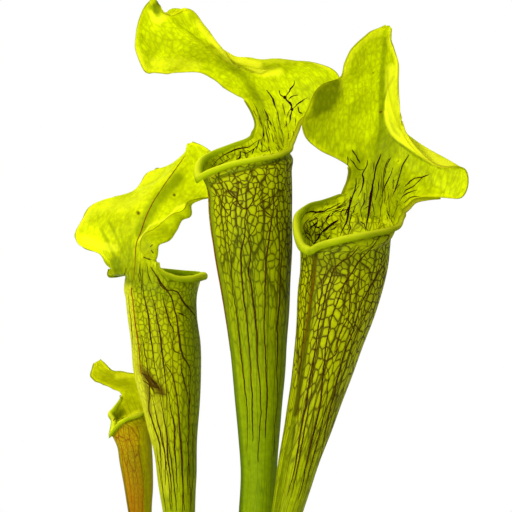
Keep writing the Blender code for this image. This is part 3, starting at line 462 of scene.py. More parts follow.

# rings: height, x, y, radius, rise along x, rise along y, flare of the front, height of the front's wing
# mouth: left edge, back and right edge. lid: left edge, midrib, right edge, sags, margins, curls
# lip: radius at the spout, radius at its ends, lid rows that it reaches up, how late its two arms thin
# marks: width, strength, then a path of x and height seen from the front. dark marks are painted shade and
# shadow, bright marks painted highlights, brown marks stains and, under the lips, painted shade. strands are
# raised: width, path
tallPitcher = {
    "facing": 207.0,
    "rings": (
        (113.3, 12.0, 6.0, 6.0, 0, 0, 0, 0.3),
        (129, 12.0, 6.0, 6.0, 0, 0, 0, 0.6),
        (165, 13.0, 5.5, 6.8, 0, 0, 0, 2.2),
        (210, 15.0, 5.0, 9.0, 0, 0, 0, 3.2),
        (250, 17.2, 4.0, 11.4, 0, 0, 0, 3.2),
        (282, 18.1, 3.5, 11.4, 0, 0, 0, 2.6),
        (302, 18.2, 3.0, 12.6, 0, 0, 0, 3.0),
        (328, 18.1, 2.5, 15.0, 0, 0, 0, 3.2),
        (360, 17.7, 2.0, 17.7, 0, 0, 0, 3.4),
        (393, 16.2, 1.0, 21.5, 0.01, 0.01, 0, 3.2),
        (425, 13.8, 0.0, 25.3, 0.06, 0.04, 0, 2.6),
        (453, 12.0, 0.0, 27.0, 0.13, 0.10, 0.4, 2.0),
        (471, 11.7, 0.0, 27.2, 0.20, 0.15, 1.6, 1.4),
        (480, 11.5, 0.0, 27.6, 0.23, 0.17, 5.0, 1.0),
    ),
    "mouth": (
        ((-19.5, -7, 475), (35.5, 12.5, 488.5), (-13.5, -22, 474)),
        ((-18, 5, 481.5), (35, 12.5, 489.5), (-1.5, -28, 479)),
        ((-12.5, 16, 486.5), (34.5, 12, 491), (11, -30, 482)),
        ((-2, 23, 491.5), (33, 11.5, 492.5), (24, -26, 484.5)),
        ((9, 24, 496), (31, 11, 496.5), (34, -17.5, 488)),
        ((14.5, 21, 502), (28, 10, 505), (38, -11, 494)),
    ),
    "lid": (
        ((16.5, 18, 509.5), (24.5, 8.5, 515.5), (41, -9, 503), (0, 0), (1, 1), (-20, -20)),
        ((14, 15, 516.5), (21.5, 6, 522), (44.5, -9, 510), (-1, -1), (1, 1), (-20, -20)),
        ((9.5, 10, 523.5), (17, 2, 528.5), (54.5, -9, 512.5), (-1, -3), (1, 1), (-20, -20)),
        ((3, 5, 527.5), (11.5, -2.5, 535.5), (67, -8, 521), (-1, -4), (1, 1), (-20, -30)),
        ((-4.5, 0, 531.5), (6, -7, 541.5), (70, -8, 532), (-2, -4), (1, 1), (-20, -40)),
        ((-11.5, -5, 537), (-1, -12, 545), (65, -8, 541), (-2, -2), (1, 1.5), (-20, -50)),
        ((-20.5, -11, 541), (-8, -17, 549), (54, -7, 545), (-2, -1), (1, 2), (-20, -60)),
        ((-33, -17, 541), (-16, -22, 553), (39.5, -6, 547), (-2, -1), (1, 3), (-20, -70)),
        ((-41, -24, 539.5), (-23.5, -27, 557), (26, -7, 545), (-2, -1), (1, 4), (-20, -80)),
        ((-49, -29, 540), (-31, -31, 561.5), (16, -11, 540), (-2, -2), (1, 5), (-20, -80)),
        ((-55.5, -33, 540.5), (-37.5, -34, 567), (4, -18, 546), (-3, -1), (1, 5), (-20, -80)),
        ((-59.5, -36, 549.5), (-42.5, -36.5, 571.5), (-10.5, -24, 558), (-3, -1), (1, 5), (0, -80)),
        ((-61, -38, 559.5), (-46.5, -38, 577), (-20.5, -29, 569.5), (-3, -2), (1, 4), (0, -60)),
        ((-59, -38, 572), (-48.5, -39, 581), (-30.5, -33, 579.5), (-1, -2), (1, 3), (0, -20)),
        ((-55, -38.5, 581), (-49.5, -39, 584), (-41.5, -35.5, 576.5), (0, 0), (0.8, 2), (0, 0)),
        ((-51.5, -38.5, 585), (-49.5, -39, 586), (-47, -37.5, 582), (0, 0), (0.6, 1), (0, 0)),
    ),
    "lip": (2.3, 0.35, 3, 2.6, 0.65),
    "ripple": (0.5, 17.0),  # height and length of the margin's waves
    "dents": (  # place, reach, push
        ((-48.5, -38, 579.5), 5.0, (0, 3.5, 0)),
        ((-42.5, -36, 580), 3.0, (0, 0, -4.5)),
        ((3, -18, 551), 8.0, (0, 0, -3.0)),
        ((18, -11, 549), 8.0, (0, 0, -2.0)),
    ),
    "netReach": (30.0, 220.0),  # below the mouth the net fades between these depths
    "streakReach": 4.5,  # lid rows that the neck's streaks climb
    "foldRadius": 2.4,  # least radius of the margins' roll
    "lidStart": -4,  # rows from the mouth's end where the lid's colour starts
    "neckPurple": 1,  # how purple the neck's veins are
    "lidCell": 9.0,  # width of a main cell on the lid
    "cellScale": 1.0,  # length of all cells
    "mainNet": 0.75,  # how dark the two nets are, and how much of the fine one is left in the neck
    "fineNet": 0.8,
    "neckNet": 1,
    "netTop": (-3, 3),  # rows from the last ring where the fine net fades into the neck
    "seamShade": 0.55,  # how dark the front's seam is
    "mainStretch": 1.2,  # length of the main cells alone
    "ridgeRed": 0.8,  # how brown the wing's edge is
    "amber": 0.0,  # how amber the tube is
    "streaks": (46, 0.5, 7.5, 0.3, 0.5),  # count, rows up from the last ring, least and greatest width
    "ridges": (("edge", 8.0, 12.3, 0.9),),  # edge or back, first and last row, width
    "marks": {
        "dark": (
            (24, 0.24, (10, 428), (12, 395), (14, 365)),
            (4.5, 0.3, (-6.5, 550), (4, 542.5), (11.5, 534), (17.5, 523.5), (21, 512.5)),
            # painted shade down the tube's right side
            (5, 0.05, (43, 480.5), (43, 451.5), (42, 419), (39.5, 386.5), (37, 354), (34.5, 321.5),
             (32, 295.5), (30.5, 255)),
            # painted shadow under the lip's roll
            (2.0, 0.45, (-14.5, 468), (-9, 472), (-1.5, 475.5), (11.5, 479), (24.5, 482.5), (37, 486)),
            # painted shade inside the dent at the lid's tip
            (4, 0.6, (-49.5, 584), (-49, 580.5)),
        ),
        "bright": (
            (4.5, 0.6, (-3, 552.5), (4, 548), (12, 544.5), (22, 541), (30, 541.5)),
            (3.5, 0.8, (-13, 563), (-6.5, 555.5), (1.3, 550.5), (9, 547.5), (17, 546)),
            (6, 0.35, (-51, 547), (-43.5, 546), (-33, 547.5), (-24, 545)),
            (1.2, 0.3, (-22, 485), (-15, 472), (-6.5, 478.5), (5, 483), (18, 486.5), (30, 490)),
            (2.2, 0.4, (-61, 555.5), (-57, 543), (-48, 541.5), (-41.5, 540.5), (-30.5, 543), (-19.5, 537),
             (-6.5, 529.5), (4, 519.5), (11.5, 511), (15.5, 505)),
            (4, 0.45, (-21, 573.5), (-13, 562), (-4.5, 555.5), (5, 547.5), (17, 545.5)),
            # painted highlight on the dent's lower side
            (2.5, 0.6, (-53.5, 580), (-50.5, 575), (-47, 574), (-43, 578)),
            (2.5, 0.35, (19.5, 548), (34.5, 549), (50.5, 548), (62.5, 543.5)),
        ),
        "brown": (
            # painted shadow under the lip's roll
            (1.3, 0.55, (-14.5, 467), (-9, 471), (-1.5, 474.5), (11.5, 478), (24.5, 481.5), (35, 485)),
            (7, 0.12, (36, 440), (34, 415), (33, 395)),
        ),
    },
    "strands": {
        "purple": (
            (2.0, (33.7, 525.5), (35.2, 523.3)),
            (1.8, (38.3, 518.1), (39.4, 515.6)),
            (1, (22, 529.3), (24.7, 526.6), (26.5, 523.9), (27.4, 520.4), (29.1, 516.3)),
            (0.6, (29.1, 516.3), (29.9, 513), (30.2, 510.4)),
            (0.7, (34.4, 524.4), (37.7, 529.3), (40.4, 533.1), (40.8, 535.8)),
            (0.6, (34.4, 524.4), (31.7, 526), (30.7, 529.3)),
            (1.15, (34.1, 524.8), (36.6, 521.7), (38.2, 519.6), (39, 516.8)),
            (0.6, (36.6, 522.8), (39.8, 525.5), (43.1, 526.2)),
            (0.7, (39, 516.8), (43.1, 520.4), (46.3, 522.8), (49.1, 524.1)),
            (0.85, (39, 517.3), (38.2, 513), (37.7, 507.7)),
            (0.8, (42.9, 518.4), (43.7, 515), (45.8, 513.9)),
            (0.65, (22.6, 510.9), (23.6, 506), (24.7, 503.3)),
            (0.65, (25.8, 501.2), (26.3, 498.9), (27.3, 495.2)),
            (0.6, (29.6, 493.6), (31.2, 491)),
            (0.5, (17.1, 512.5), (18.7, 508.2), (19.5, 505.4)),
            (0.5, (20.3, 501.2), (20.8, 498.1), (21.4, 495.5)),
            (0.5, (22.1, 504.6), (23.1, 499.4), (24, 494.7)),
            (0.45, (13.8, 516.3), (16.1, 511.9)),
            (0.6, (30.1, 514.2), (30.7, 508.7), (31.7, 504.4), (33.3, 500)),
            (0.5, (35.1, 509.2), (35.8, 505.2)),
            (0.6, (24.7, 509.2), (26, 505.9)),
            (0.5, (27, 507.2), (27.6, 504)),
            (0.6, (18.8, 496.8), (19.5, 492.2), (19.2, 489)),
            (0.6, (17.9, 497.1), (16.9, 494.2), (15.9, 491)),
            (0.5, (23.7, 492.9), (24.7, 489.6), (25, 487.7)),
            (0.5, (28.6, 492.2), (30.6, 489)),
            (0.45, (36.4, 501.4), (37, 497.4)),
            (0.45, (39.6, 503.3), (40.3, 499.4)),
            (0.7, (-13.2, 478.4), (-9.9, 482.7), (-6.7, 485.9), (-1.3, 489.2), (4.1, 491.4), (11.7, 493),
             (15.5, 495.7), (18, 497.4)),
            (0.9, (2.5, 483.8), (4.7, 484.9), (5.7, 489.8)),
            (0.6, (6.3, 489.2), (8.4, 488.2), (9.1, 485.1)),
            (0.5, (9.8, 490.3), (12.4, 488.7)),
            (0.45, (-7.8, 485.1), (-5.8, 482.5)),
            (0.45, (-3.9, 487), (-1.3, 484.4)),
            (0.6, (13, 487), (14.3, 491), (16.2, 492.9)),
            (0.5, (33.2, 520.8), (33.8, 516.3), (34.4, 512.4)),
            (0.45, (41.6, 511.1), (41, 505.9)),
            (0.5, (31.8, 498.1), (33.2, 494.2)),
        ),
        "brown": (
            (0.84, (-1.7, 447.2), (-2.5, 438.3), (-1.3, 425.3), (-0.1, 413.9), (0.7, 400.9), (1.9, 391.2),
             (3.6, 377.4), (6.3, 353.8), (8.9, 329.1), (9.2, 307), (8.8, 294)),
            (0.93, (8.9, 452.1), (7.6, 444), (8, 434.2), (6, 425.3), (5.6, 413.9), (6.4, 404.2), (8, 392.8),
             (9.7, 381.4), (11.7, 353.8), (13.6, 329.1), (13.5, 307), (13.3, 301.1)),
            (0.89, (17.4, 455.4), (17.8, 448), (14.9, 438.3), (10.5, 432.2), (12.1, 426.9), (12.1, 418.8),
             (10.9, 409.9), (12.9, 401.7), (14.1, 391.2), (15.4, 381.4), (16.7, 353.8), (18, 329.1),
             (17.4, 307), (16.9, 287.5)),
            (0.93, (28.4, 469.2), (27.1, 454.5), (25.5, 442.4), (23.9, 430.2), (22.3, 418.8), (21.9, 405.8),
             (21.4, 392.8), (21, 377.4), (21.7, 353.8), (22.4, 329.1), (21.4, 307), (21.3, 303.8)),
            (0.89, (33.2, 450.5), (32.8, 430.2), (32, 413.9), (30.8, 401.7), (30.4, 389.5), (29.6, 377.4),
             (29.2, 353.8), (28.9, 329.1), (27.4, 307), (26.9, 291.4)),
            (0.77, (-3.3, 467.5), (-0.5, 461), (3.2, 458.2), (-0.1, 455.4), (-1.7, 447.2)),
            (0.77, (3.6, 470), (4, 463.5), (3.2, 458.2), (8.9, 452.1), (14.1, 457.8), (15.8, 465.9),
             (16.6, 470)),
            (0.67, (24.7, 460.2), (19, 456.2), (17.4, 455.4)),
            (0.67, (-8.6, 460.2), (-5.4, 452.9), (-1.7, 447.2)),
            (0.67, (17.4, 455.4), (22.3, 449.7), (26.3, 446.4)),
        ),
        "rust": (
            (0.65, (45.5, 511.4), (48.8, 512.4)),
        ),
    },
}
rightPitcher = {
    "facing": 230.0,
    "rings": (
        (113.3, 20.0, -14.0, 5.6, 0, 0, 0, 0.3),
        (129, 20.0, -14.0, 5.6, 0, 0, 0, 0.6),
        (165, 22.0, -15.5, 6.2, 0, 0, 0, 2.0),
        (210, 27.0, -17.0, 7.9, 0, 0, 0, 3.0),
        (255, 35.4, -18.5, 10.2, 0, 0, 0, 3.4),
        (276, 40.3, -19.0, 12.2, 0, 0, 0, 3.4),
        (297, 45.4, -19.5, 14.4, 0, 0, 0, 3.4),
        (317, 51.0, -20.0, 16.3, 0, 0, 0, 3.4),
        (338, 56.4, -20.0, 18.7, 0, 0, 0, 3.4),
        (359, 61.6, -20.5, 21.5, 0, 0.01, 0, 3.4),
        (380, 66.2, -21.0, 24.8, 0.01, 0.05, 0, 3.0),
        (400, 70.0, -21.5, 27.4, 0.02, 0.13, 0, 2.4),
        (416, 72.4, -22.0, 28.2, 0.03, 0.26, 0.4, 1.8),
        (427, 73.2, -22.0, 28.8, 0.03, 0.34, 1.4, 1.4),
        (434, 73.4, -22.0, 29.6, 0.02, 0.38, 3.0, 1.0),
    ),
    "mouth": (
        ((46, -36, 429.5), (92, 3, 446), (61, -50, 428.5)),
        ((44, -25.5, 437.5), (92.5, 3.5, 447.5), (71, -52.5, 431.5)),
        ((44, -13, 446), (93, 4, 449), (82.5, -50, 434)),
        ((50, 0, 452.5), (94, 4, 451), (94.5, -43, 436.5)),
        ((59.5, 8, 456), (94.5, 4, 454.5), (103, -31.5, 439)),
        ((68.5, 11, 459.5), (95.5, 4, 463), (108.5, -23.5, 446)),
    ),
    "lid": (
        ((74.5, 11, 465), (96, 4, 482.5), (112.5, -17, 453.5), (-2, -2), (1, 1), (-20, -20)),
        ((77, 9, 472.5), (97, 4, 488.5), (120, -15, 459), (-2, -2), (1, 1), (-20, -20)),
        ((77, 4, 479.5), (98, 4, 493), (134, -15, 460), (-2, -2), (1, 1), (-20, -20)),
        ((69.5, -4, 485), (98.5, 4.5, 498), (147, -18, 459.5), (-3, -1), (1, 1.5), (-20, 0)),
        ((57, -14, 490.5), (99, 5, 502.5), (151, -20, 468.5), (-3, 0), (1, 2), (-20, 0)),
        ((49, -22, 496.5), (99.5, 5.5, 507), (148.5, -19, 478), (-4, 0), (1, 3), (-10, 90)),
        ((45.5, -27, 506), (99.5, 6, 513.5), (132.5, -16, 480.5), (-4, 0), (1, 6), (0, 140)),
        ((50, -28, 516.5), (99.5, 6, 522), (121.5, -13, 488.5), (-3, 0), (1, 9), (0, 155)),
        ((54, -26, 527.5), (99.5, 5.5, 531.5), (112.5, -11, 498.5), (-3, 0), (1, 13), (0, 160)),
        ((62.5, -21, 533.5), (99, 4, 540.5), (108.5, -10, 510.5), (-3, 0), (1, 13), (0, 160)),
        ((71, -17, 538), (99, 1.5, 549), (107.5, -10.5, 523), (-2, 0), (1, 10), (0, 160)),
        ((74, -14, 547.5), (99.5, -1.5, 556.5), (107.5, -10.5, 536), (-2, 0), (1, 6), (0, 140)),
        ((78.5, -12, 556.5), (100, -4.5, 561.5), (107.5, -10.5, 547.5), (-2, 0), (1, 2), (0, 60)),
        ((86.5, -11, 564), (101, -7, 565.5), (104.5, -9.5, 556.5), (-1, 0), (1, 1), (0, 0)),
        ((94, -9, 568.5), (101.5, -8.5, 569), (102.5, -9.5, 564.5), (0, 0), (0.8, 0.8), (0, 0)),
        ((99.5, -9, 570.5), (102, -9, 570.5), (103, -9.5, 569), (0, 0), (0.6, 0.6), (0, 0)),
    ),
    "lip": (2.3, 0.45, 3, 1.3, 0.8),
    "ripple": (0.5, 19.0),
    "dents": (),
    "netReach": (60.0, 330.0),
    "streakReach": 4.5,
    "foldRadius": 2.4,
    "lidStart": -4,
    "neckPurple": 1,
    "lidCell": 9.0,
    "cellScale": 1.0,
    "mainNet": 0.75,
    "fineNet": 0.8,
    "neckNet": 1,
    "netTop": (-3, 3),
    "seamShade": 0.25,
    "mainStretch": 1.4,
    "ridgeRed": 0.15,
    "amber": 0.0,
    "streaks": (70, 0.3, 7.0, 0.3, 0.6),
    "ridges": (("edge", 9.0, 13.6, 0.4),),
    "marks": {
        "dark": (
            (13, 0.4, (101.4, 502), (97.5, 483.8), (92.3, 463), (88.4, 439.6)),
            (9, 0.25, (80.6, 483.8), (80.6, 465.6), (76.7, 450), (74.1, 439.6)),
            (9, 0.25, (107.9, 476), (109.2, 463), (105.3, 450)),
            (16, 0.26, (46, 424), (64, 420), (84, 423), (98, 427)),
            (2.5, 0.4, (48, 451.5), (56, 454), (66, 457)),
            # painted shadow of the tall pitcher's lid, which lies behind this lid and blocks the light
            # through it
            (4, 0.44, (54, 515), (55, 526.5), (60, 531), (67.5, 534), (68, 528), (64.5, 521), (58.5, 517),
             (54, 514.5), (59, 525), (64.5, 528), (62, 522)),
            (3.2, 0.42, (95.5, 482.5), (97.5, 503.5), (97, 523), (98, 542.5), (100, 562)),
            (2.4, 0.5, (94, 489), (96.5, 503), (97, 520)),
            (1.4, 0.6, (106, 538), (101, 529), (98.5, 522), (98.5, 513), (101, 503.5), (105, 497),
             (112.5, 492), (121, 486), (129, 481.5), (136, 479)),
            (3, 0.3, (44, 421.5), (63.5, 425.5), (83, 430.5), (99.5, 432)),
            (5, 0.12, (108, 485), (117, 484), (128.5, 477.5)),
            (6, 0.1, (56, 503.5), (63.5, 490.5), (75.5, 485)),
        ),
        "bright": (
            (2.2, 0.3, (41.6, 443.5), (44.2, 435), (50.1, 429.8), (63.1, 433.1), (82.5, 438.9),
             (104.6, 443.5)),
            (9, 0.22, (48.1, 443.5), (55.9, 435.7), (66.3, 439.6)),
            (6.5, 0.6, (105, 542), (104.5, 529), (105, 519), (108.5, 506.5), (114.5, 497.5), (123, 491)),
            (5.5, 0.35, (103.5, 511), (107, 502.5), (113, 497.5), (121, 492), (128.5, 486.5), (136.5, 482)),
            (5, 0.6, (111, 511), (115, 503.5), (120, 496), (127, 489), (134, 483.5), (142, 481)),
            (2.4, 0.7, (100, 515), (101, 508.5), (104, 501.5), (109, 497), (117, 492), (125.5, 486.5),
             (133, 481), (140, 480)),
            (2.2, 0.4, (102, 562), (107, 551.5), (108, 545)),
            (1.0, 0.7, (108, 550), (107.5, 538), (102.5, 529), (100, 522), (100, 513), (102, 506)),
            (2.5, 0.3, (70, 530.5), (73.5, 542.5), (78, 554), (86, 562), (96, 567)),
        ),
        "brown": (
            # painted shade under the lip
            (7, 0.3, (54, 419), (61, 414), (70, 416), (78, 420)),
            (2.6, 0.75, (54.5, 422), (52, 400), (49.5, 378), (47.5, 364), (45.5, 350), (43.6, 334),
             (41.5, 318)),
            (1.3, 0.9, (96.1, 515.2), (96.4, 514.9)),
        ),
    },
    "strands": {
        "purple": (
            (0.6, (47.5, 443.5), (49.1, 438.3), (47.8, 432.8)),
            (0.6, (49.1, 443.2), (53, 444.8), (56.2, 446.1)),
            (0.65, (51.4, 433.4), (53.6, 438.3), (55.9, 443.2)),
            (0.75, (55.6, 431.5), (58.8, 437), (63.7, 441.9), (67.6, 444.5)),
            (0.65, (59.8, 431.5), (62.7, 434.4), (66.6, 436)),
            (0.75, (46.8, 437), (50.4, 434.9), (52.3, 430.8), (55.6, 428.7), (57.5, 431.5)),
            (0.6, (63.7, 447.9), (61.4, 444.8), (59, 441.9)),
            (0.55, (75.4, 435.4), (77, 440.6), (76.2, 443.5)),
            (0.6, (53.6, 434.9), (57.2, 435.4), (60.6, 433.9)),
            (0.6, (50.2, 440.1), (53.6, 440.9), (56.7, 439.6)),
            (0.55, (56.7, 439.6), (58.8, 437)),
            (0.55, (63.2, 438), (66, 439.1), (68.4, 441.7)),
            (0.55, (58.2, 444.3), (58.8, 441.9), (57.7, 439.6)),
            (1.3, (96.8, 486.4), (94.2, 479.9), (91.6, 468.2), (89, 451.3), (87.1, 437.6)),
            (0.8, (78, 490.3), (80.6, 486.4), (83.2, 481.8)),
            (0.6, (74.8, 486.4), (75.4, 481.2), (74.8, 474.7), (75.4, 470.8)),
            (0.6, (76.7, 485.1), (79.3, 481.2), (81.9, 478), (85.8, 477.3)),
            (0.85, (87.8, 483.8), (87.1, 478.6), (85.1, 474.7), (85.8, 470.8), (83.8, 464.3), (81.9, 460.4)),
            (1, (80.6, 472.1), (80, 464.3), (76.7, 455.2), (74.8, 444.8), (71.5, 438.3), (69.6, 433.8)),
            (0.65, (77.4, 460.4), (76, 453.9), (72.8, 447.4)),
            (0.6, (86.4, 463), (85.8, 456.5), (83.8, 451.3), (84.5, 444.8)),
            (0.65, (83.2, 443.5), (85.8, 442.2), (87.1, 439.6)),
            (0.8, (115.7, 486.4), (111.8, 481.2), (109.2, 474.7), (106, 465.6), (104, 460.4)),
            (0.7, (104.6, 478.6), (102.7, 473.4), (99.4, 466.9), (97.5, 460.4)),
            (0.6, (100.1, 478.6), (98.8, 472.1)),
            (0.8, (128, 474.7), (123.5, 472.8), (117, 470.8), (111.8, 466.2)),
            (0.65, (123.5, 472.1), (118.3, 466.9), (113.1, 464.3), (111.2, 462.4)),
            (0.7, (120.9, 464.3), (115.7, 463), (111.2, 460.4), (109.2, 457.2)),
            (0.6, (121.6, 460.4), (115.7, 459.1), (111.8, 455.8)),
            (0.5, (105.3, 470.8), (104.6, 464.3)),
            (0.45, (107.9, 457.8), (106.6, 451.3), (102.7, 444.8)),
            (0.6, (95.6, 472.1), (94.9, 464.3), (93.6, 457.8)),
            (0.45, (97.5, 457.8), (96.2, 447.4), (94.9, 440.9)),
            (0.85, (70.2, 455.8), (63.7, 452), (57.2, 450), (49.4, 450), (46.8, 448.7), (45.5, 445.4)),
            (1.25, (68.9, 444.8), (63.7, 440.9), (59.2, 437)),
            (0.7, (54, 447.4), (55.9, 444.8), (50.7, 439.6), (48.8, 437)),
            (0.8, (63.7, 435), (61.1, 430.5)),
            (0.7, (49.4, 444.8), (46.8, 442.2), (47.4, 437), (50.7, 431.8), (55.9, 427.9)),
            (0.9, (57.2, 437), (55.9, 433.1), (52.6, 429.2)),
            (0.6, (64.4, 449.4), (61.1, 444.8), (63.7, 440.9)),
            (0.6, (73.4, 452.6), (70.8, 449.4), (72.2, 444.8)),
            (0.6, (78, 450), (76.7, 443.5), (74.8, 438.3)),
            (0.65, (52, 443.5), (54.6, 440.2), (58.5, 440.9)),
            (0.5, (80, 453.9), (78.6, 448.7)),
            (0.45, (91, 457.8), (92.3, 450), (91.6, 443.5)),
            (0.45, (101.4, 460.4), (100.1, 453.9)),
        ),
        "brown": (
            (0.97, (95.3, 430.9), (90.6, 425.3), (83.2, 417.9), (78.6, 410.4), (73, 403), (69.3, 394.7),
             (66, 385.4), (63.7, 376.1), (61.4, 364.9), (60.5, 352.9), (59.1, 342.7), (57.7, 329.7),
             (52.9, 308.3), (48.7, 287.5), (43.6, 264.1)),
            (0.97, (83.2, 429), (78.6, 423.4), (72.1, 418.8), (66.5, 413.2), (63.7, 405.8), (61.4, 397.4),
             (59.5, 388.2), (57.2, 379.8), (55.8, 372.4), (54.4, 363.1), (51.4, 346), (48.1, 327.8),
             (44.5, 308.3), (41.1, 287.5), (36.7, 264.1)),
            (0.97, (98.1, 420.7), (94.3, 409.5), (89.7, 401.2), (85.1, 392.8), (81.8, 383.5), (78.6, 372.4),
             (73.9, 359.4), (71.1, 350.1), (68.3, 338.9), (66.5, 329.7), (61, 308.3), (56.1, 287.5),
             (50.1, 264.1)),
            (0.68, (61.8, 415.1), (59.5, 405.8), (58.1, 396.5), (56.3, 387.2), (55.5, 379.8)),
            (0.68, (99.9, 413.2), (96.2, 403), (91.6, 392.8), (86.9, 383.5), (83.2, 376.1), (79.5, 366.8)),
            (0.8, (78.6, 401.2), (76.7, 391.9), (74.8, 380.3), (71.1, 373.3), (68.3, 364.9), (67.4, 357.5),
             (60.9, 352.9)),
            (0.68, (74.8, 380.3), (77.6, 377), (79, 373.3)),
            (0.68, (60.5, 352.9), (63.2, 345.4), (62.3, 337.1), (61.8, 329.7), (56.8, 308.3), (52.2, 287.5),
             (46.7, 264.1)),
            (0.68, (52.6, 354.7), (52.1, 343.6), (51.2, 330.6), (47, 308.3), (43.4, 287.5), (38.9, 264.1)),
        ),
        "rust": (
            (1.95, (96.6, 515.3), (97.1, 514.7)),
            (1.15, (91.6, 540.5), (91.9, 540.2)),
            (1.15, (107.9, 483.2), (108.3, 482.8)),
        ),
    },
}
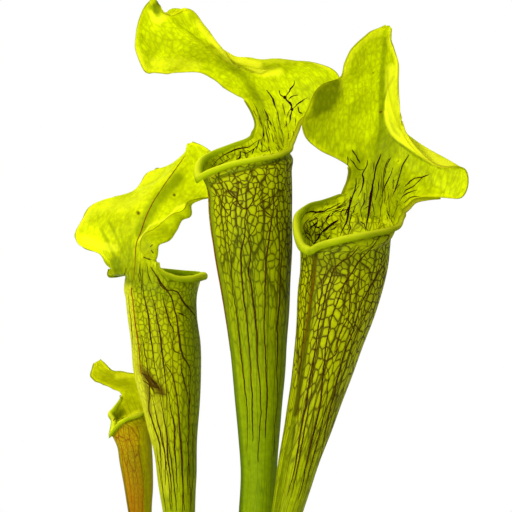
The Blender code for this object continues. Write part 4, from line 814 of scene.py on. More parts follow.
leftPitcher = {
    "facing": 40.0,
    "rings": (
        (113.3, -29.0, 18.0, 5.6, 0, 0, 0, 0.3),
        (129, -29.0, 18.0, 5.6, 0, 0, 0, 0.6),
        (165, -30.5, 19.5, 6.2, 0, 0, 0, 2.0),
        (210, -33.0, 21.0, 8.0, 0, 0, 0, 3.0),
        (255, -35.2, 22.5, 10.6, 0, 0, 0, 3.4),
        (276, -36.4, 23.0, 12.9, 0, 0, 0, 3.4),
        (292, -37.4, 23.5, 14.2, 0, 0, 0, 3.4),
        (308, -39.0, 24.0, 16.6, 0, 0, 0, 3.4),
        (323, -40.4, 24.0, 18.9, 0, 0, 0, 3.4),
        (343, -42.4, 24.0, 21.9, 0, 0, 0, 3.2),
        (364, -43.8, 24.0, 22.8, 0, 0, 0, 2.8),
        (383, -46.0, 24.0, 23.0, 0.02, 0.02, 0, 2.0),
        (395, -46.8, 24.0, 23.4, 0.06, 0.06, 2.0, 1.4),
        (403, -47.2, 24.2, 24.2, 0.10, 0.10, 8.0, 1.0),
    ),
    "mouth": (
        ((-21.5, 30, 408), (-65.5, 8.7, 400.5), (-25.5, 48.5, 408.5)),
        ((-25.5, 14, 406.5), (-65.5, 8.7, 401.2), (-32.5, 50.5, 409)),
        ((-33.5, 2.5, 406), (-65.3, 8.8, 402.5), (-42, 50.5, 410)),
        ((-41.5, -2, 408.5), (-65, 9, 404.5), (-57, 47, 411.5)),
        ((-46.5, -3.5, 412), (-64.5, 9, 408), (-75, 28, 408.5)),
        ((-48.5, -4, 417), (-63.5, 9, 415), (-80, 24.5, 413)),
    ),
    "lid": (
        ((-49, -4, 423.5), (-62, 9.5, 431.5), (-81, 24, 418), (1, -2), (15, 3), (-150, -70)),
        ((-48, -3, 429), (-60, 11, 436.5), (-85.5, 27, 423), (1, -2), (14, 2), (-150, -30)),
        ((-42, 0, 432), (-58.5, 13, 441), (-93, 31, 425.5), (2, -3), (14, 1), (-150, -20)),
        ((-37.5, 5, 437.5), (-56.5, 15.5, 447), (-101, 34, 429.5), (3, -3), (13, 1), (-148, -20)),
        ((-34.5, 10, 444.5), (-54, 18, 452.5), (-103, 36, 436.5), (3, -2), (9, 1), (-145, -20)),
        ((-28.5, 15, 448), (-50.5, 20.5, 459), (-98.5, 38, 446), (3, -1), (8, 1), (-140, -20)),
        ((-28, 19, 455), (-47, 23, 464.5), (-93, 40, 454.5), (3, 1), (5, 1), (-130, -20)),
        ((-21, 24, 459), (-43.5, 25, 470), (-85, 42, 459), (3, 1), (3, 1), (-90, -20)),
        ((-15.5, 28, 462), (-39.5, 27, 475.5), (-75, 44, 460.5), (3, 2), (1, 1), (-20, -20)),
        ((-12.5, 31, 469), (-36, 29, 480.5), (-63, 46, 467), (3, 2), (1, 1), (0, -20)),
        ((-11, 33, 477), (-32.5, 31, 485.5), (-54.5, 47, 477.5), (2, 2), (1, 1), (0, -20)),
        ((-12, 34.5, 485), (-30, 32.5, 489.5), (-47, 46, 479), (2, 1), (1, 1), (0, -20)),
        ((-15.5, 35.5, 491), (-29.5, 33.5, 492), (-39.5, 43, 477.5), (1, 1), (1, 1), (0, 0)),
        ((-21.5, 35.5, 495), (-29.5, 34, 494), (-32.5, 38, 483.5), (0, 0), (0.8, 0.8), (0, 0)),
        ((-26.5, 35, 496.5), (-30, 34.5, 495.5), (-30, 35.5, 490), (0, 0), (0.6, 0.6), (0, 0)),
    ),
    "lip": (2.0, 0.5, 0, 3.0, 3.0),
    "ripple": (0.6, 13.0),
    "dents": (),
    "netReach": (50.0, 260.0),
    "streakReach": 2.0,
    "foldRadius": 1.4,
    "lidStart": -3,
    "neckPurple": 0.3,
    "lidCell": 9.0,
    "cellScale": 1.0,
    "mainNet": 0.34,
    "fineNet": 0.527,
    "neckNet": 0.3,
    "netTop": (2, 10),
    "seamShade": 0.4,
    "mainStretch": 2.6,
    "ridgeRed": 0.5,
    "amber": 0.0,
    "streaks": (0, 0, 0, 0.35, 0.75),
    "ridges": (("back", 9.0, 14.5, 1.1), ("back", 16.5, 30.5, 0.6)),
    "marks": {
        "dark": (
            (1.8, 0.42, (-79.3, 442.6), (-75, 434), (-71.7, 425.3), (-69, 416.6)),
            (1.8, 0.42, (-72.8, 438.3), (-70.1, 429.6), (-67.4, 419.9)),
            (1.8, 0.42, (-84.7, 438.3), (-80.4, 429.6), (-76.1, 421)),
            (1.8, 0.42, (-66.3, 434), (-65.8, 425.3), (-66.8, 416.6), (-68.5, 410.1)),
            (7, 0.3, (-67.6, 437), (-68.9, 427.9), (-70.2, 420.1)),
            (6, 0.2, (-53.3, 425.3), (-55.9, 417.5)),
            (6.5, 0.62, (-75.5, 417.5), (-74, 412), (-72.5, 408)),
            (7, 0.3, (-70, 436), (-66, 426), (-64, 417)),
            (6, 0.25, (-59, 432), (-56, 424), (-50, 417)),
            (9, 0.4, (-28, 399.5), (-26.5, 373.5), (-26.5, 328), (-28.5, 282.5)),
            (16, 0.4, (-72, 412), (-58, 407), (-42, 401)),
            (8, 0.16, (-92, 446), (-80, 444), (-68, 440)),
            (5, 0.2, (-75, 428), (-70, 437), (-66, 446)),
            (6, 0.5, (-60, 437), (-56, 445.5), (-49.5, 456), (-41.5, 465.5), (-35, 472)),
            (4, 0.35, (-47, 403), (-37, 401), (-27.5, 402)),
            (3, 0.25, (-69, 428.5), (-70, 421.5), (-71.5, 416)),
            (3, 0.14, (-89, 441.5), (-79.5, 437), (-71.5, 432)),
        ),
        "bright": (
            (7, 0.42, (-69.5, 399), (-66.5, 360), (-60, 328), (-55, 302)),
            (6, 0.3, (-60, 338), (-54, 300), (-48, 256)),
            (7, 0.22, (-50, 325), (-47, 305), (-44, 270)),
            (1.0, 0.6, (-31, 455), (-36.5, 452), (-40.5, 448), (-44, 445), (-49.5, 443), (-53.5, 441),
             (-56.5, 437), (-61, 431)),
            (7, 0.2, (-99, 443.5), (-92.5, 452.5), (-82.5, 454.5), (-69.5, 455), (-60, 460.5), (-52, 472),
             (-43.5, 476)),
            (2.0, 0.3, (-50, 417), (-45, 411.5), (-38, 407.5), (-30, 406), (-23, 408), (-18, 411)),
            (4, 0.3, (-95.5, 432), (-86, 428), (-76, 426.5)),
        ),
        "brown": (
            (1.7, 0.9, (-61.1, 449.6), (-60.7, 449.1)),
            (1.3, 0.9, (-37.7, 461.2), (-37.4, 460.9)),
            (1.7, 0.9, (-15, 489.1), (-14.4, 488.9)),
            (4.2, 0.85, (-60, 348), (-52, 340), (-45.5, 333)),
            (2.6, 0.6, (-57, 342), (-54.5, 331), (-53, 318)),
            (1.6, 0.45, (-50, 337), (-47, 322), (-45, 300)),
            (1.6, 0.5, (-62, 352), (-58, 344), (-50, 340)),
        ),
    },
    "strands": {
        "purple": (
            (0.65, (-57.8, 420.8), (-54.6, 419.4), (-52, 419.1)),
            (0.65, (-53.3, 427.2), (-51.4, 428.9)),
            (0.65, (-52.6, 425.3), (-51, 423)),
            (0.45, (-59.8, 413.6), (-59.2, 405.8), (-58.8, 399.3)),
        ),
        "brown": (
            (0.5, (-59.8, 416.6), (-60.3, 410.1), (-59.8, 403.6)),
            (0.5, (-55.5, 416.6), (-54.4, 410.1), (-52.2, 403.1)),
            (0.5, (-69, 413.4), (-70.1, 408), (-70.6, 403.1)),
            (0.87, (-58.5, 412.9), (-57.2, 396), (-54.6, 383), (-52.6, 367.4), (-50.1, 349.2),
             (-47.5, 338.8)),
            (0.87, (-53.3, 399.9), (-50.1, 385.6), (-46.8, 370), (-44.9, 354.4), (-42.9, 338.8),
             (-41.6, 323.2)),
            (1.13, (-52.6, 414.2), (-46.8, 405.1), (-40.3, 396), (-36.4, 384.3), (-34.5, 370), (-32.5, 357),
             (-28, 349.2), (-27.3, 338.8)),
            (1, (-48.8, 406.4), (-44.2, 399.9), (-36.4, 398.6), (-31.2, 390.8), (-24.7, 383), (-22.1, 375.2)),
            (1, (-58.5, 370), (-55.9, 357), (-53.9, 345.3), (-53.3, 332.3), (-53.9, 323.2), (-50.7, 310.2),
             (-47.5, 299.8), (-46.8, 284.2), (-45.5, 268.6)),
            (1, (-42.9, 349.2), (-37.7, 341.4), (-35.8, 331), (-34.5, 318), (-33.8, 305), (-33.1, 292),
             (-32.5, 279), (-32.5, 255.6)),
            (0.87, (-46.8, 331), (-44.2, 318), (-42.2, 305), (-41.6, 292), (-40.3, 279), (-39.6, 255.6)),
            (0.87, (-41.6, 337.5), (-39.6, 323.2), (-37.7, 311.5), (-37.7, 297.2), (-36.4, 284.2),
             (-35.8, 266)),
            (0.75, (-33.1, 357), (-31.9, 344), (-30.5, 336.9), (-28.6, 328.4), (-28.6, 318)),
            (0.69, (-67.6, 396), (-66.3, 383), (-64.7, 370), (-63.7, 359.6)),
            (0.75, (-45.5, 396), (-41.6, 380.4), (-37.7, 370), (-38.4, 364.8), (-36.4, 359.6),
             (-33.1, 358.3)),
            (0.75, (-36.4, 384.3), (-31.2, 383), (-28, 380.4)),
            (1.13, (-58.5, 345.3), (-53.3, 341.4), (-46.8, 335.6)),
            (1.38, (-56.6, 343), (-52, 337.5), (-48.8, 335.6)),
            (1, (-53.9, 344), (-50.1, 338.8), (-46.8, 333.6)),
            (1, (-57.5, 340.8), (-53.3, 336.9), (-50.4, 332.3)),
            (0.75, (-28.6, 349.2), (-27.6, 331), (-28, 311.5), (-28.6, 292), (-28.9, 266)),
            (0.75, (-52, 331), (-49.4, 318), (-46.8, 305), (-43.5, 292), (-42.9, 272.5)),
            (0.62, (-48.8, 297.2), (-46.8, 279), (-44.5, 266), (-42.9, 255.6)),
            (0.62, (-45.5, 307.6), (-43.5, 292), (-41.6, 276.4), (-39.6, 255.6)),
            (0.62, (-41, 299.8), (-39, 284.2), (-37.4, 271.2), (-36.4, 255.6)),
            (0.62, (-33.1, 289.4), (-31.9, 273.8), (-31.2, 255.6)),
            (0.62, (-29.9, 305), (-28, 292), (-27.6, 276.4), (-27.6, 255.6)),
            (0.62, (-26, 312.8), (-25.2, 297.2), (-25.5, 281.6), (-26.3, 260.8)),
        ),
        "rust": (
            (1.15, (-26, 481.3), (-25.8, 481.1)),
        ),
    },
}
smallPitcher = {
    "facing": 205.0,
    "rings": (
        (113.3, -43.0, 29.0, 4.2, 0, 0, 0, 0.2),
        (129, -43.0, 29.0, 4.2, 0, 0, 0, 0.4),
        (165, -47.0, 32.5, 4.6, 0, 0, 0, 1.2),
        (210, -55.0, 39.0, 5.8, 0, 0, 0, 1.6),
        (255, -61.1, 44.0, 7.5, 0, 0, 0, 1.8),
        (270, -62.0, 45.0, 9.2, 0, 0, 0, 1.8),
        (286, -63.6, 46.0, 10.8, 0.04, 0.04, 0, 1.6),
        (297, -65.0, 46.5, 11.3, 0.10, 0.10, 0.3, 1.0),
        (305, -66.0, 46.5, 11.6, 0.16, 0.14, 2.6, 0.6),
    ),
    "mouth": (
        ((-78, 41, 313), (-55.5, 51.5, 310.5), (-74, 35.5, 310)),
        ((-80, 45, 316), (-55.5, 51.5, 312), (-72.5, 33, 311.5)),
        ((-78, 49, 319), (-56, 51.5, 314), (-67.5, 35, 314)),
        ((-76, 53, 322), (-57, 51.5, 316.5), (-62, 36, 316)),
        ((-74, 54, 325), (-58.5, 51.5, 321), (-57, 39, 320)),
    ),
    "lid": (
        ((-73, 51, 328.5), (-60, 51.5, 331), (-55.5, 43, 326), (-1, -1), (0.8, 0.8), (0, -20)),
        ((-74.5, 50, 331.5), (-63.5, 50, 335.5), (-55, 42, 335.5), (-1, -1), (0.8, 1), (0, -30)),
        ((-79.5, 47, 334), (-69.5, 47, 338.5), (-61.5, 41.5, 341.5), (-1, -1), (0.8, 1), (0, -30)),
        ((-85.5, 43, 337), (-76.5, 43, 342), (-70.5, 40, 344.5), (-1, -1), (0.8, 1), (0, -20)),
        ((-91, 40, 339.5), (-84, 39.5, 345), (-79.5, 38, 346), (-0.5, -0.5), (0.6, 0.8), (0, 0)),
        ((-93.5, 38, 345), (-88.5, 37.5, 349.5), (-84.5, 37, 350), (0, 0), (0.6, 0.6), (0, 0)),
        ((-91, 37.5, 350.5), (-89, 37, 352), (-87.5, 37, 353), (0, 0), (0.4, 0.4), (0, 0)),
    ),
    "lip": (1.0, 0.35, 1, 3.0, 3.0),
    "ripple": (0.3, 11.0),
    "dents": (),
    "netReach": (60.0, 220.0),
    "streakReach": 1.0,
    "foldRadius": 2.4,
    "lidStart": -4,
    "neckPurple": 0.3,
    "lidCell": 6.0,
    "cellScale": 0.9,
    "mainNet": 0.76,
    "fineNet": 0.475,
    "neckNet": 0.5,
    "netTop": (-3, 3),
    "seamShade": 0.4,
    "mainStretch": 1.5,
    "ridgeRed": 0.0,
    "amber": 0.75,
    "streaks": (10, 0.5, 5, 0.35, 0.75),
    "ridges": (),
    "marks": {
        "dark": (
            (8, 0.24, (-64.4, 290.8), (-61.8, 275.1), (-59.8, 255.6)),
            (2, 0.35, (-59.8, 297.2), (-57.2, 279), (-55.3, 255.6)),
            (3, 0.4, (-76.5, 316), (-71.5, 320)),
        ),
        "bright": (
            (3, 0.4, (-77, 311), (-70, 316), (-60, 320)),
            (4, 0.4, (-74, 344.5), (-64.5, 345.5)),
            (2, 0.5, (-78, 309.5), (-69.5, 315), (-61, 318)),
        ),
        "brown": (),
    },
    "strands": {
        "purple": (),
        "brown": (),
        "rust": (
            (0.65, (-77.4, 314.2), (-74.8, 317.4), (-71.5, 320.6)),
        ),
    },
}


def seamZone(places):  # 0 on the leaf's body, up to 1 at its edge
    share = leafGrid["bodyShare"]
    return np.clip((np.abs(places) - share) / (1 - share), 0, 1)


def turnFromBack(places):  # degrees from the back
    start = leafGrid["seamStart"]
    return np.minimum(np.abs(places) / leafGrid["bodyShare"], 1) * start + seamZone(places) * (180 - start)


def ringSection(facing, ring, places):  # a row of points round the tube
    height, x, y, radius, riseX, riseY, flare, wing = ring
    turn = turnFromBack(places)
    angle = np.radians(facing + 180 - np.sign(places) * turn)
    reach = radius + flare * (turn / 180) ** 6 + wing * seamZone(places) ** 3
    dx, dy = reach * np.cos(angle), reach * np.sin(angle)
    return np.stack([x + dx, y + dy, height + riseX * dx + riseY * dy], axis=1)


def mouthSection(section, ring, places):  # a row round the open mouth, through its three points
    level, x, y, _, riseX, riseY = ring[:6]
    reach, angle, above = [], [], []
    for point in section:
        dx, dy = point[0] - x, point[1] - y
        reach.append(math.hypot(dx, dy))
        angle.append(math.atan2(dy, dx))
        above.append(point[2] - level - riseX * dx - riseY * dy)
    spans = ((angle[0] - angle[1]) % math.tau, (angle[2] - angle[1]) % math.tau - math.tau)
    turn = turnFromBack(places) / 180
    leftward = places < 0
    radius = reach[1] + np.where(leftward, reach[0] - reach[1], reach[2] - reach[1]) * turn**3
    lift = above[1] + np.where(leftward, above[0] - above[1], above[2] - above[1]) * turn**4
    around = angle[1] + turn * np.where(leftward, spans[0], spans[1])
    dx, dy = radius * np.cos(around), radius * np.sin(around)
    return np.stack([x + dx, y + dy, level + riseX * dx + riseY * dy + lift], axis=1)


def lidSection(section, along, places, radius):  # a row across the lid, with its margins rolled
    left, mid, right = (np.array(point, float) for point in section[:3])
    sags, margins, curls = section[3:]
    inward = np.cross(right - left, along)
    inward /= np.linalg.norm(inward)
    halfway = (left + mid) / 2 + inward * sags[0], (right + mid) / 2 + inward * sags[1]
    guides = np.array([left, halfway[0], mid, halfway[1], right])
    knots = lengthAlong(guides)
    share = np.clip(places / leafGrid["bodyShare"], -1, 1)
    at = knots[2] + np.where(share < 0, share * knots[2], share * (knots[4] - knots[2]))
    points = smoothThrough(guides, knots, at)
    for side, end in ((0, -1), (1, 1)):
        edge, near = smoothThrough(guides, knots, (knots[-side], knots[-side] - end * 0.5))
        outward = (edge - near) / np.linalg.norm(edge - near)
        curl = math.radians(curls[side])
        rolled = places * end > leafGrid["bodyShare"]
        travelled = margins[side] * seamZone(places[rolled])
        turned = np.minimum(travelled / radius, abs(curl))
        straight = travelled - turned * radius
        out = radius * np.sin(turned) + straight * np.cos(turned)
        over = radius * (1 - np.cos(turned)) + straight * np.sin(turned)
        points[rolled] = edge + out[:, None] * outward + math.copysign(1, curl) * over[:, None] * inward
    return points


def leafSheet(leaf):  # rows of points, and for each row its station number and its length along the midrib
    share = leafGrid["bodyShare"]
    body = np.linspace(0, share, leafGrid["bodyColumns"] + 1)
    halfPlaces = np.concatenate([body, np.linspace(share, 1, leafGrid["seamColumns"] + 1)[1:]])
    places = np.concatenate([-halfPlaces[:0:-1], halfPlaces])
    middle = len(places) // 2
    rings, mouth, lid = leaf["rings"], leaf["mouth"], leaf["lid"]
    sections = [ringSection(leaf["facing"], ring, places) for ring in rings]
    sections += [mouthSection(section, rings[-1], places) for section in mouth]
    midrib = np.array([sections[-1][middle]] + [section[1] for section in lid])
    for row, section in enumerate(lid):
        along = midrib[min(row + 2, len(midrib) - 1)] - midrib[row]
        sections.append(lidSection(section, along, places, leaf["foldRadius"]))
    sections = np.array(sections)
    knots = lengthAlong(sections[:, middle])
    counts = [leafGrid["ringRows"]] * (len(rings) - 1) + [leafGrid["mouthRows"]] * len(mouth)
    counts += [leafGrid["lidRows"]] * len(lid)
    station = np.concatenate([[0]] + [i + np.arange(1, n + 1) / n for i, n in enumerate(counts)])
    whole = np.minimum(station.astype(int), len(knots) - 2)
    at = knots[whole] + (station - whole) * (knots[whole + 1] - knots[whole])
    # the tube's rows end at its last ring and the mouth's start there: the front's edges part at that ring
    last = int(np.searchsorted(station, len(rings) - 1))
    whole = smoothThrough(sections, knots, at)
    tube = smoothThrough(sections[: len(rings)], knots[: len(rings)], at[: last + 1])
    above = smoothThrough(sections[len(rings) - 1 :], knots[len(rings) - 1 :], at[last:])
    front = smoothStep(0.3, 0.7, np.abs(places))[None, :, None]
    parted = np.concatenate([tube, above[1:]])
    return whole + (parted - whole) * front, station, at, places


def sheetNormals(points):  # normals of a grid of points, toward the trap's inside
    return unit(np.cross(np.gradient(points, axis=1), np.gradient(points, axis=0)))


def rippleSheet(points, station, at, places, leaf):  # waves along the lid's margins, slow unevenness all over
    normals = sheetNormals(points)
    first = len(leaf["rings"]) + len(leaf["mouth"])
    height, length = leaf["ripple"]
    at, across, station = at[:, None], places[None, :], station[:, None]
    edge = np.clip(np.abs(across), 0, 1) ** 7
    wave = np.sin(at * math.tau / length + np.sign(across) * 1.3 + 0.8 * np.sin(at * 0.13))
    points = points + normals * (height * smoothStep(first, first + 3, station) * edge * wave)[..., None]
    slow = np.sin(at * 0.11 + across * 5.0) * np.cos(at * 0.047 - across * 9.0)
    calm = 1 - smoothStep(0.8, 1.0, np.abs(across))
    calm = leafGrid["unevenness"] * slow * calm * smoothStep(1.5, 4, station)
    points = points + normals * calm[..., None]
    for place, reach, push in leaf["dents"]:
        near = np.exp(-((np.linalg.norm(points - np.array(place), axis=-1) / reach) ** 2))
        points = points + near[..., None] * np.array(push)
    return points


def lipLines(rim, leaf):  # the rolled edge: for each rim point, points round the roll
    full, fine, _, farPower, nearPower = leaf["lip"]
    axis = np.array([*leaf["rings"][-1][1:3], 0.0])
    travelled = lengthAlong(rim)
    smoothRim = rim.copy()
    for _ in range(6):
        smoothRim[1:-1] = (smoothRim[:-2] + 2 * smoothRim[1:-1] + smoothRim[2:]) / 4
    tangent = unit(np.gradient(smoothRim, axis=0))
    outward = (rim - axis) * np.array([1, 1, 0])
    outward = unit(outward - np.sum(outward * tangent, axis=1, keepdims=True) * tangent)
    onward = np.cross(outward, tangent)
    reach = 2 * travelled / travelled[-1] - 1
    thinning = np.abs(reach) ** np.where(reach < 0, farPower, nearPower)
    radius = (full + (fine - full) * thinning)[:, None, None]
    turned = np.radians(rollAngles())[None, :, None]
    roll = np.sin(turned) * onward[:, None] + (1 - np.cos(turned)) * outward[:, None]
    return rim[:, None] + radius * roll


def rollAngles():  # degrees round the lip's roll
    return leafGrid["lipTurn"] * np.arange(1, leafGrid["lipSteps"] + 1) / leafGrid["lipSteps"]


def cellsDown(lengths):  # how many cells lie above each depth below the mouth, where cells have these lengths
    fine = np.linspace(-140, 480, 800)
    between = (lengths(fine[1:]) + lengths(fine[:-1])) / 2
    count = np.concatenate([[0], np.cumsum(np.diff(fine) / between)])
    return lambda depth: np.interp(depth, fine, count)


def seenFromFront(points):  # x and height on the pot's middle plane, as seen from the photograph's place
    near = (view["distance"] / (view["distance"] + points[..., 1]))[..., None]
    return view["aim"] + (points[..., [0, 2]] - view["aim"]) * near


def strokeMask(places, strokes):  # strokes: width in mm, strength, points of x and height
    mask = np.zeros(places.shape[:-1])
    for width, strength, *path in strokes:
        path = np.array(path, float)
        nearest = np.full(mask.shape, 1e9)
        for here, there in zip(path[:-1], path[1:]):
            along = there - here
            t = np.clip(((places - here) @ along) / (along @ along), 0, 1)
            nearest = np.minimum(nearest, np.linalg.norm(places - here - t[..., None] * along, axis=-1))
        mask = np.maximum(mask, strength * (1 - smoothStep(width * 0.25, width, nearest)))
    return mask


def netPlaces(points, station, at, leaf):  # cells counted round the leaf, and down it for both nets
    rings, mouths = len(leaf["rings"]), len(leaf["mouth"])
    middle = points.shape[1] // 2
    last = int(np.searchsorted(station, rings - 1))
    arc = np.array([lengthAlong(row) for row in points])
    arc -= arc[:, middle : middle + 1]
    cellWidth = (arc[:, -1] - arc[:, 0]) / leafGrid["mainVeins"]
    opened = smoothStep(rings - 1, rings - 1 + mouths, station)
    lidWidth = cellWidth[last] + (leaf["lidCell"] - cellWidth[last]) * opened
    cellWidth = np.where(station > rings - 1, lidWidth, cellWidth)
    around = arc / cellWidth[:, None] + leaf["facing"]

    height = points[..., 2]
    back = height[:, middle : middle + 1]
    straight = (1 - smoothStep(rings - 2 + mouths, rings + 1.5 + mouths, station))[:, None]
    places = [around]
    for lengths, stretch in zip(leafGrid["cellLengths"], (leaf["mainStretch"], 1)):
        byDepth = cellsDown(lambda depth: np.interp(depth, *lengths) * leaf["cellScale"] * stretch)
        bent = byDepth(back[last] - height) - byDepth(back[last] - back)
        places.append(byDepth(at[last] - at)[:, None] + straight * bent)
    depth = (at[last] - at)[:, None] + straight * (back - height)
    return np.stack(places, axis=-1), depth


# where the colours change: places across the leaf, where 1 is its edge, and depths below the mouth
leafPaint = {
    "seam": (0.93, 0.975),
    "seamDepth": (2, 12),
    "ridge": (0.985, 0.998),
    "ridgeDepth": (6, 16),
    "front": (-0.25, 0.15),  # slope of the sheet where the marks on a tube's front end
    "lidRows": 5,  # rows over which the lid's colour comes in
    "neckRows": 2.5,
    "mainLoss": (0.4, 0.55, 0.8),  # share of a net that is lost low down, on the lid and at the seam
    "fineLoss": (0.85, 0.45, 1.6),
    "fineReach": 0.8,  # the fine net ends higher up than the main one
    "amberDepth": (-14, 4),
    "amberDeep": (12, 60, 0.6),  # between these depths the amber gets full, from this share
    "amberLeast": 0.28,
    "amberSide": (0.3, 0.65),  # places toward the right that the amber and the nets spare
}


def leafFields(points, station, at, places, leaf, rim):  # what the leaf materials read at each point
    paint = leafPaint
    rings, mouths = len(leaf["rings"]), len(leaf["mouth"])
    veinPlace, depth = netPlaces(points, station, at, leaf)
    wide = np.ones_like(depth)
    row, across = station[:, None], np.abs(places)[None, :]
    onTube = row <= rings - 1
    lidFrom = rings + mouths + leaf["lidStart"]
    lid = smoothStep(lidFrom, lidFrom + paint["lidRows"], row) * wide
    margin = np.array([np.linalg.norm(line[:, None] - rim[None], axis=2).min(axis=1) for line in points])

    near, far = leaf["netReach"]
    low = smoothStep(near, far, depth)
    seam = smoothStep(*paint["seam"], across) * onTube
    lowLoss, lidLoss, seamLoss = paint["mainLoss"]
    mainShare = leaf["mainNet"] * (1 - lowLoss * low) * (1 - lidLoss * lid) * (1 - seamLoss * seam)
    lowLoss, lidLoss, seamLoss = paint["fineLoss"]
    fineShare = leaf["fineNet"] * (1 - lowLoss * smoothStep(near, far * paint["fineReach"], depth))
    fineShare = fineShare * (1 - lidLoss * lid) * (1 - seamLoss * leaf["seamShade"] * seam)
    first, end = leaf["netTop"]
    fineShare *= 1 - (1 - leaf["neckNet"]) * smoothStep(rings + first, rings + end, row)
    mouthEnd = rings - 1 + mouths
    purple = leaf["neckPurple"] * smoothStep(rings - 1, rings - 1 + paint["neckRows"], row)
    purple = purple * (1 - smoothStep(mouthEnd, mouthEnd + leaf["streakReach"], row)) * wide

    # the marks, which are painted shade, painted highlights and stains, lie on a tube's front only
    onFront = np.maximum(smoothStep(*paint["front"], sheetNormals(points)[..., 1]), row > rings - 0.5)
    seen = seenFromFront(points)
    parts = ("dark", "bright", "brown")
    dark, bright, brown = (strokeMask(seen, leaf["marks"][part]) * onFront for part in parts)
    dark = np.maximum(dark, leaf["seamShade"] * seam * smoothStep(*paint["seamDepth"], depth))
    ridge = smoothStep(*paint["ridge"], across) * onTube * smoothStep(*paint["ridgeDepth"], depth)
    brown = np.maximum(brown, ridge * leaf["ridgeRed"])
    if leaf["amber"]:  # on this leaf brown is the amber that spares the right side and the lid
        rightward = points[..., 0] - points[..., 0].mean(axis=1, keepdims=True)
        rightward = rightward / np.abs(rightward).max(axis=1, keepdims=True)
        spared = smoothStep(*paint["amberSide"], rightward)
        start, full, share = paint["amberDeep"]
        deeper = share + (1 - share) * smoothStep(start, full, depth)
        deeper = deeper * smoothStep(*paint["amberDepth"], depth)
        brown = np.maximum(brown, leaf["amber"] * deeper * (1 - 0.95 * spared) * (1 - 0.8 * lid))
        brown = np.maximum(brown, leaf["amber"] * paint["amberLeast"])
        mainShare, fineShare = mainShare * (1 - 0.8 * spared), fineShare * (1 - 0.8 * spared)
    return {
        "veinPlace": veinPlace,
        "leafPlace": np.stack([lid, margin, low], axis=-1),
        "veinShare": np.stack([mainShare, fineShare, purple], axis=-1),
        "leafShade": np.stack([dark, bright, brown], axis=-1),
    }


strandColours = {  # paler and deeper tone
    "purple": ("purple vein strand", "2C0A08", "120303"),
    "brown": ("brown vein strand", "4A3600", "2C1C00"),
    "rust": ("rust brown vein", "8A5000", "602A00"),
}
strandShape = {
    "sides": 6,
    "swell": 1.15,  # greatest width, as a share of the width that is given
    "greatestRise": 0.25,
    "above": 0.04,  # the leaf
    "shake": 0.09,
    "steps": (0.5, 1.0),  # between points, on a strand shorter and longer than this
    "short": 30,
    "jump": 3,  # a strand ends where the leaf behind it lies this much further off
    "streakRows": (4, 14),
    "streakSpread": 0.62,  # share of the neck's width that has streaks
    "seed": 7,
}


def strandColour(name, pale, deep):  # a vein full of pigment, or an old bite's scar: dull, a little uneven
    material, add = newMaterial(name)
    cloud = add("TexNoise", {"Scale": 420.0, "Detail": 2.0}, {"Vector": add("TexCoord").outputs["Object"]})
    share = add("MapRange", {"From Min": 0.35, "From Max": 0.65}, {"Value": cloud})
    tone = add("Mix", colourMix | {6: linearColour(deep), 7: linearColour(pale)}, {0: share})
    dull = {"IOR": 1.4, "Specular IOR Level": 0.05, "Roughness": 0.8}
    add("OutputMaterial", links={"Surface": add("BsdfPrincipled", dull, {"Base Color": tone})})
    return material


strandTones = {tone: strandColour(*colours) for tone, colours in strandColours.items()}


def strandTube(path, normals, width, phase):  # a fine raised vein along a path on the leaf
    sides, rise = strandShape["sides"], strandShape["greatestRise"]
    across = unit(np.cross(unit(np.gradient(path, axis=0)), normals))
    t = np.linspace(0, 1, len(path))
    swell = (0.3 + 0.7 * np.sin(math.pi * t) ** 0.6) * (1 + 0.25 * np.sin(9 * t + phase))
    half = (width / 2 * strandShape["swell"] * swell)[:, None, None]
    turn = (np.arange(sides) * math.tau / sides)[None, :, None]
    ring = np.cos(turn) * across[:, None] * half
    ring = ring + np.sin(turn) * normals[:, None] * np.minimum(half * 0.5, rise)
    return (path[:, None] + ring).reshape(-1, 3), tubeFaces(len(path), sides)


def drawnVeins(leafObject, strands, draw):  # veins drawn on the side of the leaf that shows from the front
    mesh = leafObject.data
    surface = BVHTree.FromPolygons([v.co for v in mesh.vertices], [p.vertices for p in mesh.polygons])
    eye = Vector((view["aim"][0], -view["distance"], view["aim"][1])) * mm
    for width, *path in strands:
        path = np.array(path, float)
        knots = lengthAlong(path)
        length = knots[-1]
        step = strandShape["steps"][0 if length < strandShape["short"] else 1]
        count = max(int(length / step), 3)
        way = smoothThrough(path, knots, np.linspace(0, length, count))
        shake = np.cumsum(draw.normal(0, strandShape["shake"], way.shape), axis=0) * min(length / 8, 1)
        way = way + shake - shake.mean(axis=0)
        hits, normals = [], []
        for x, z in way:
            place, normal, _, _ = surface.ray_cast(eye, (Vector((x * mm, 0, z * mm)) - eye).normalized())
            if place is None:
                break
            if hits and np.linalg.norm(np.array(place) / mm - hits[-1]) > strandShape["jump"]:
                break
            hits.append(np.array(place) / mm)
            normals.append(np.array(normal) * (-1 if normal.dot(place - eye) > 0 else 1))
        if len(hits) > 2:
            yield np.array(hits) + strandShape["above"] * np.array(normals), np.array(normals), width


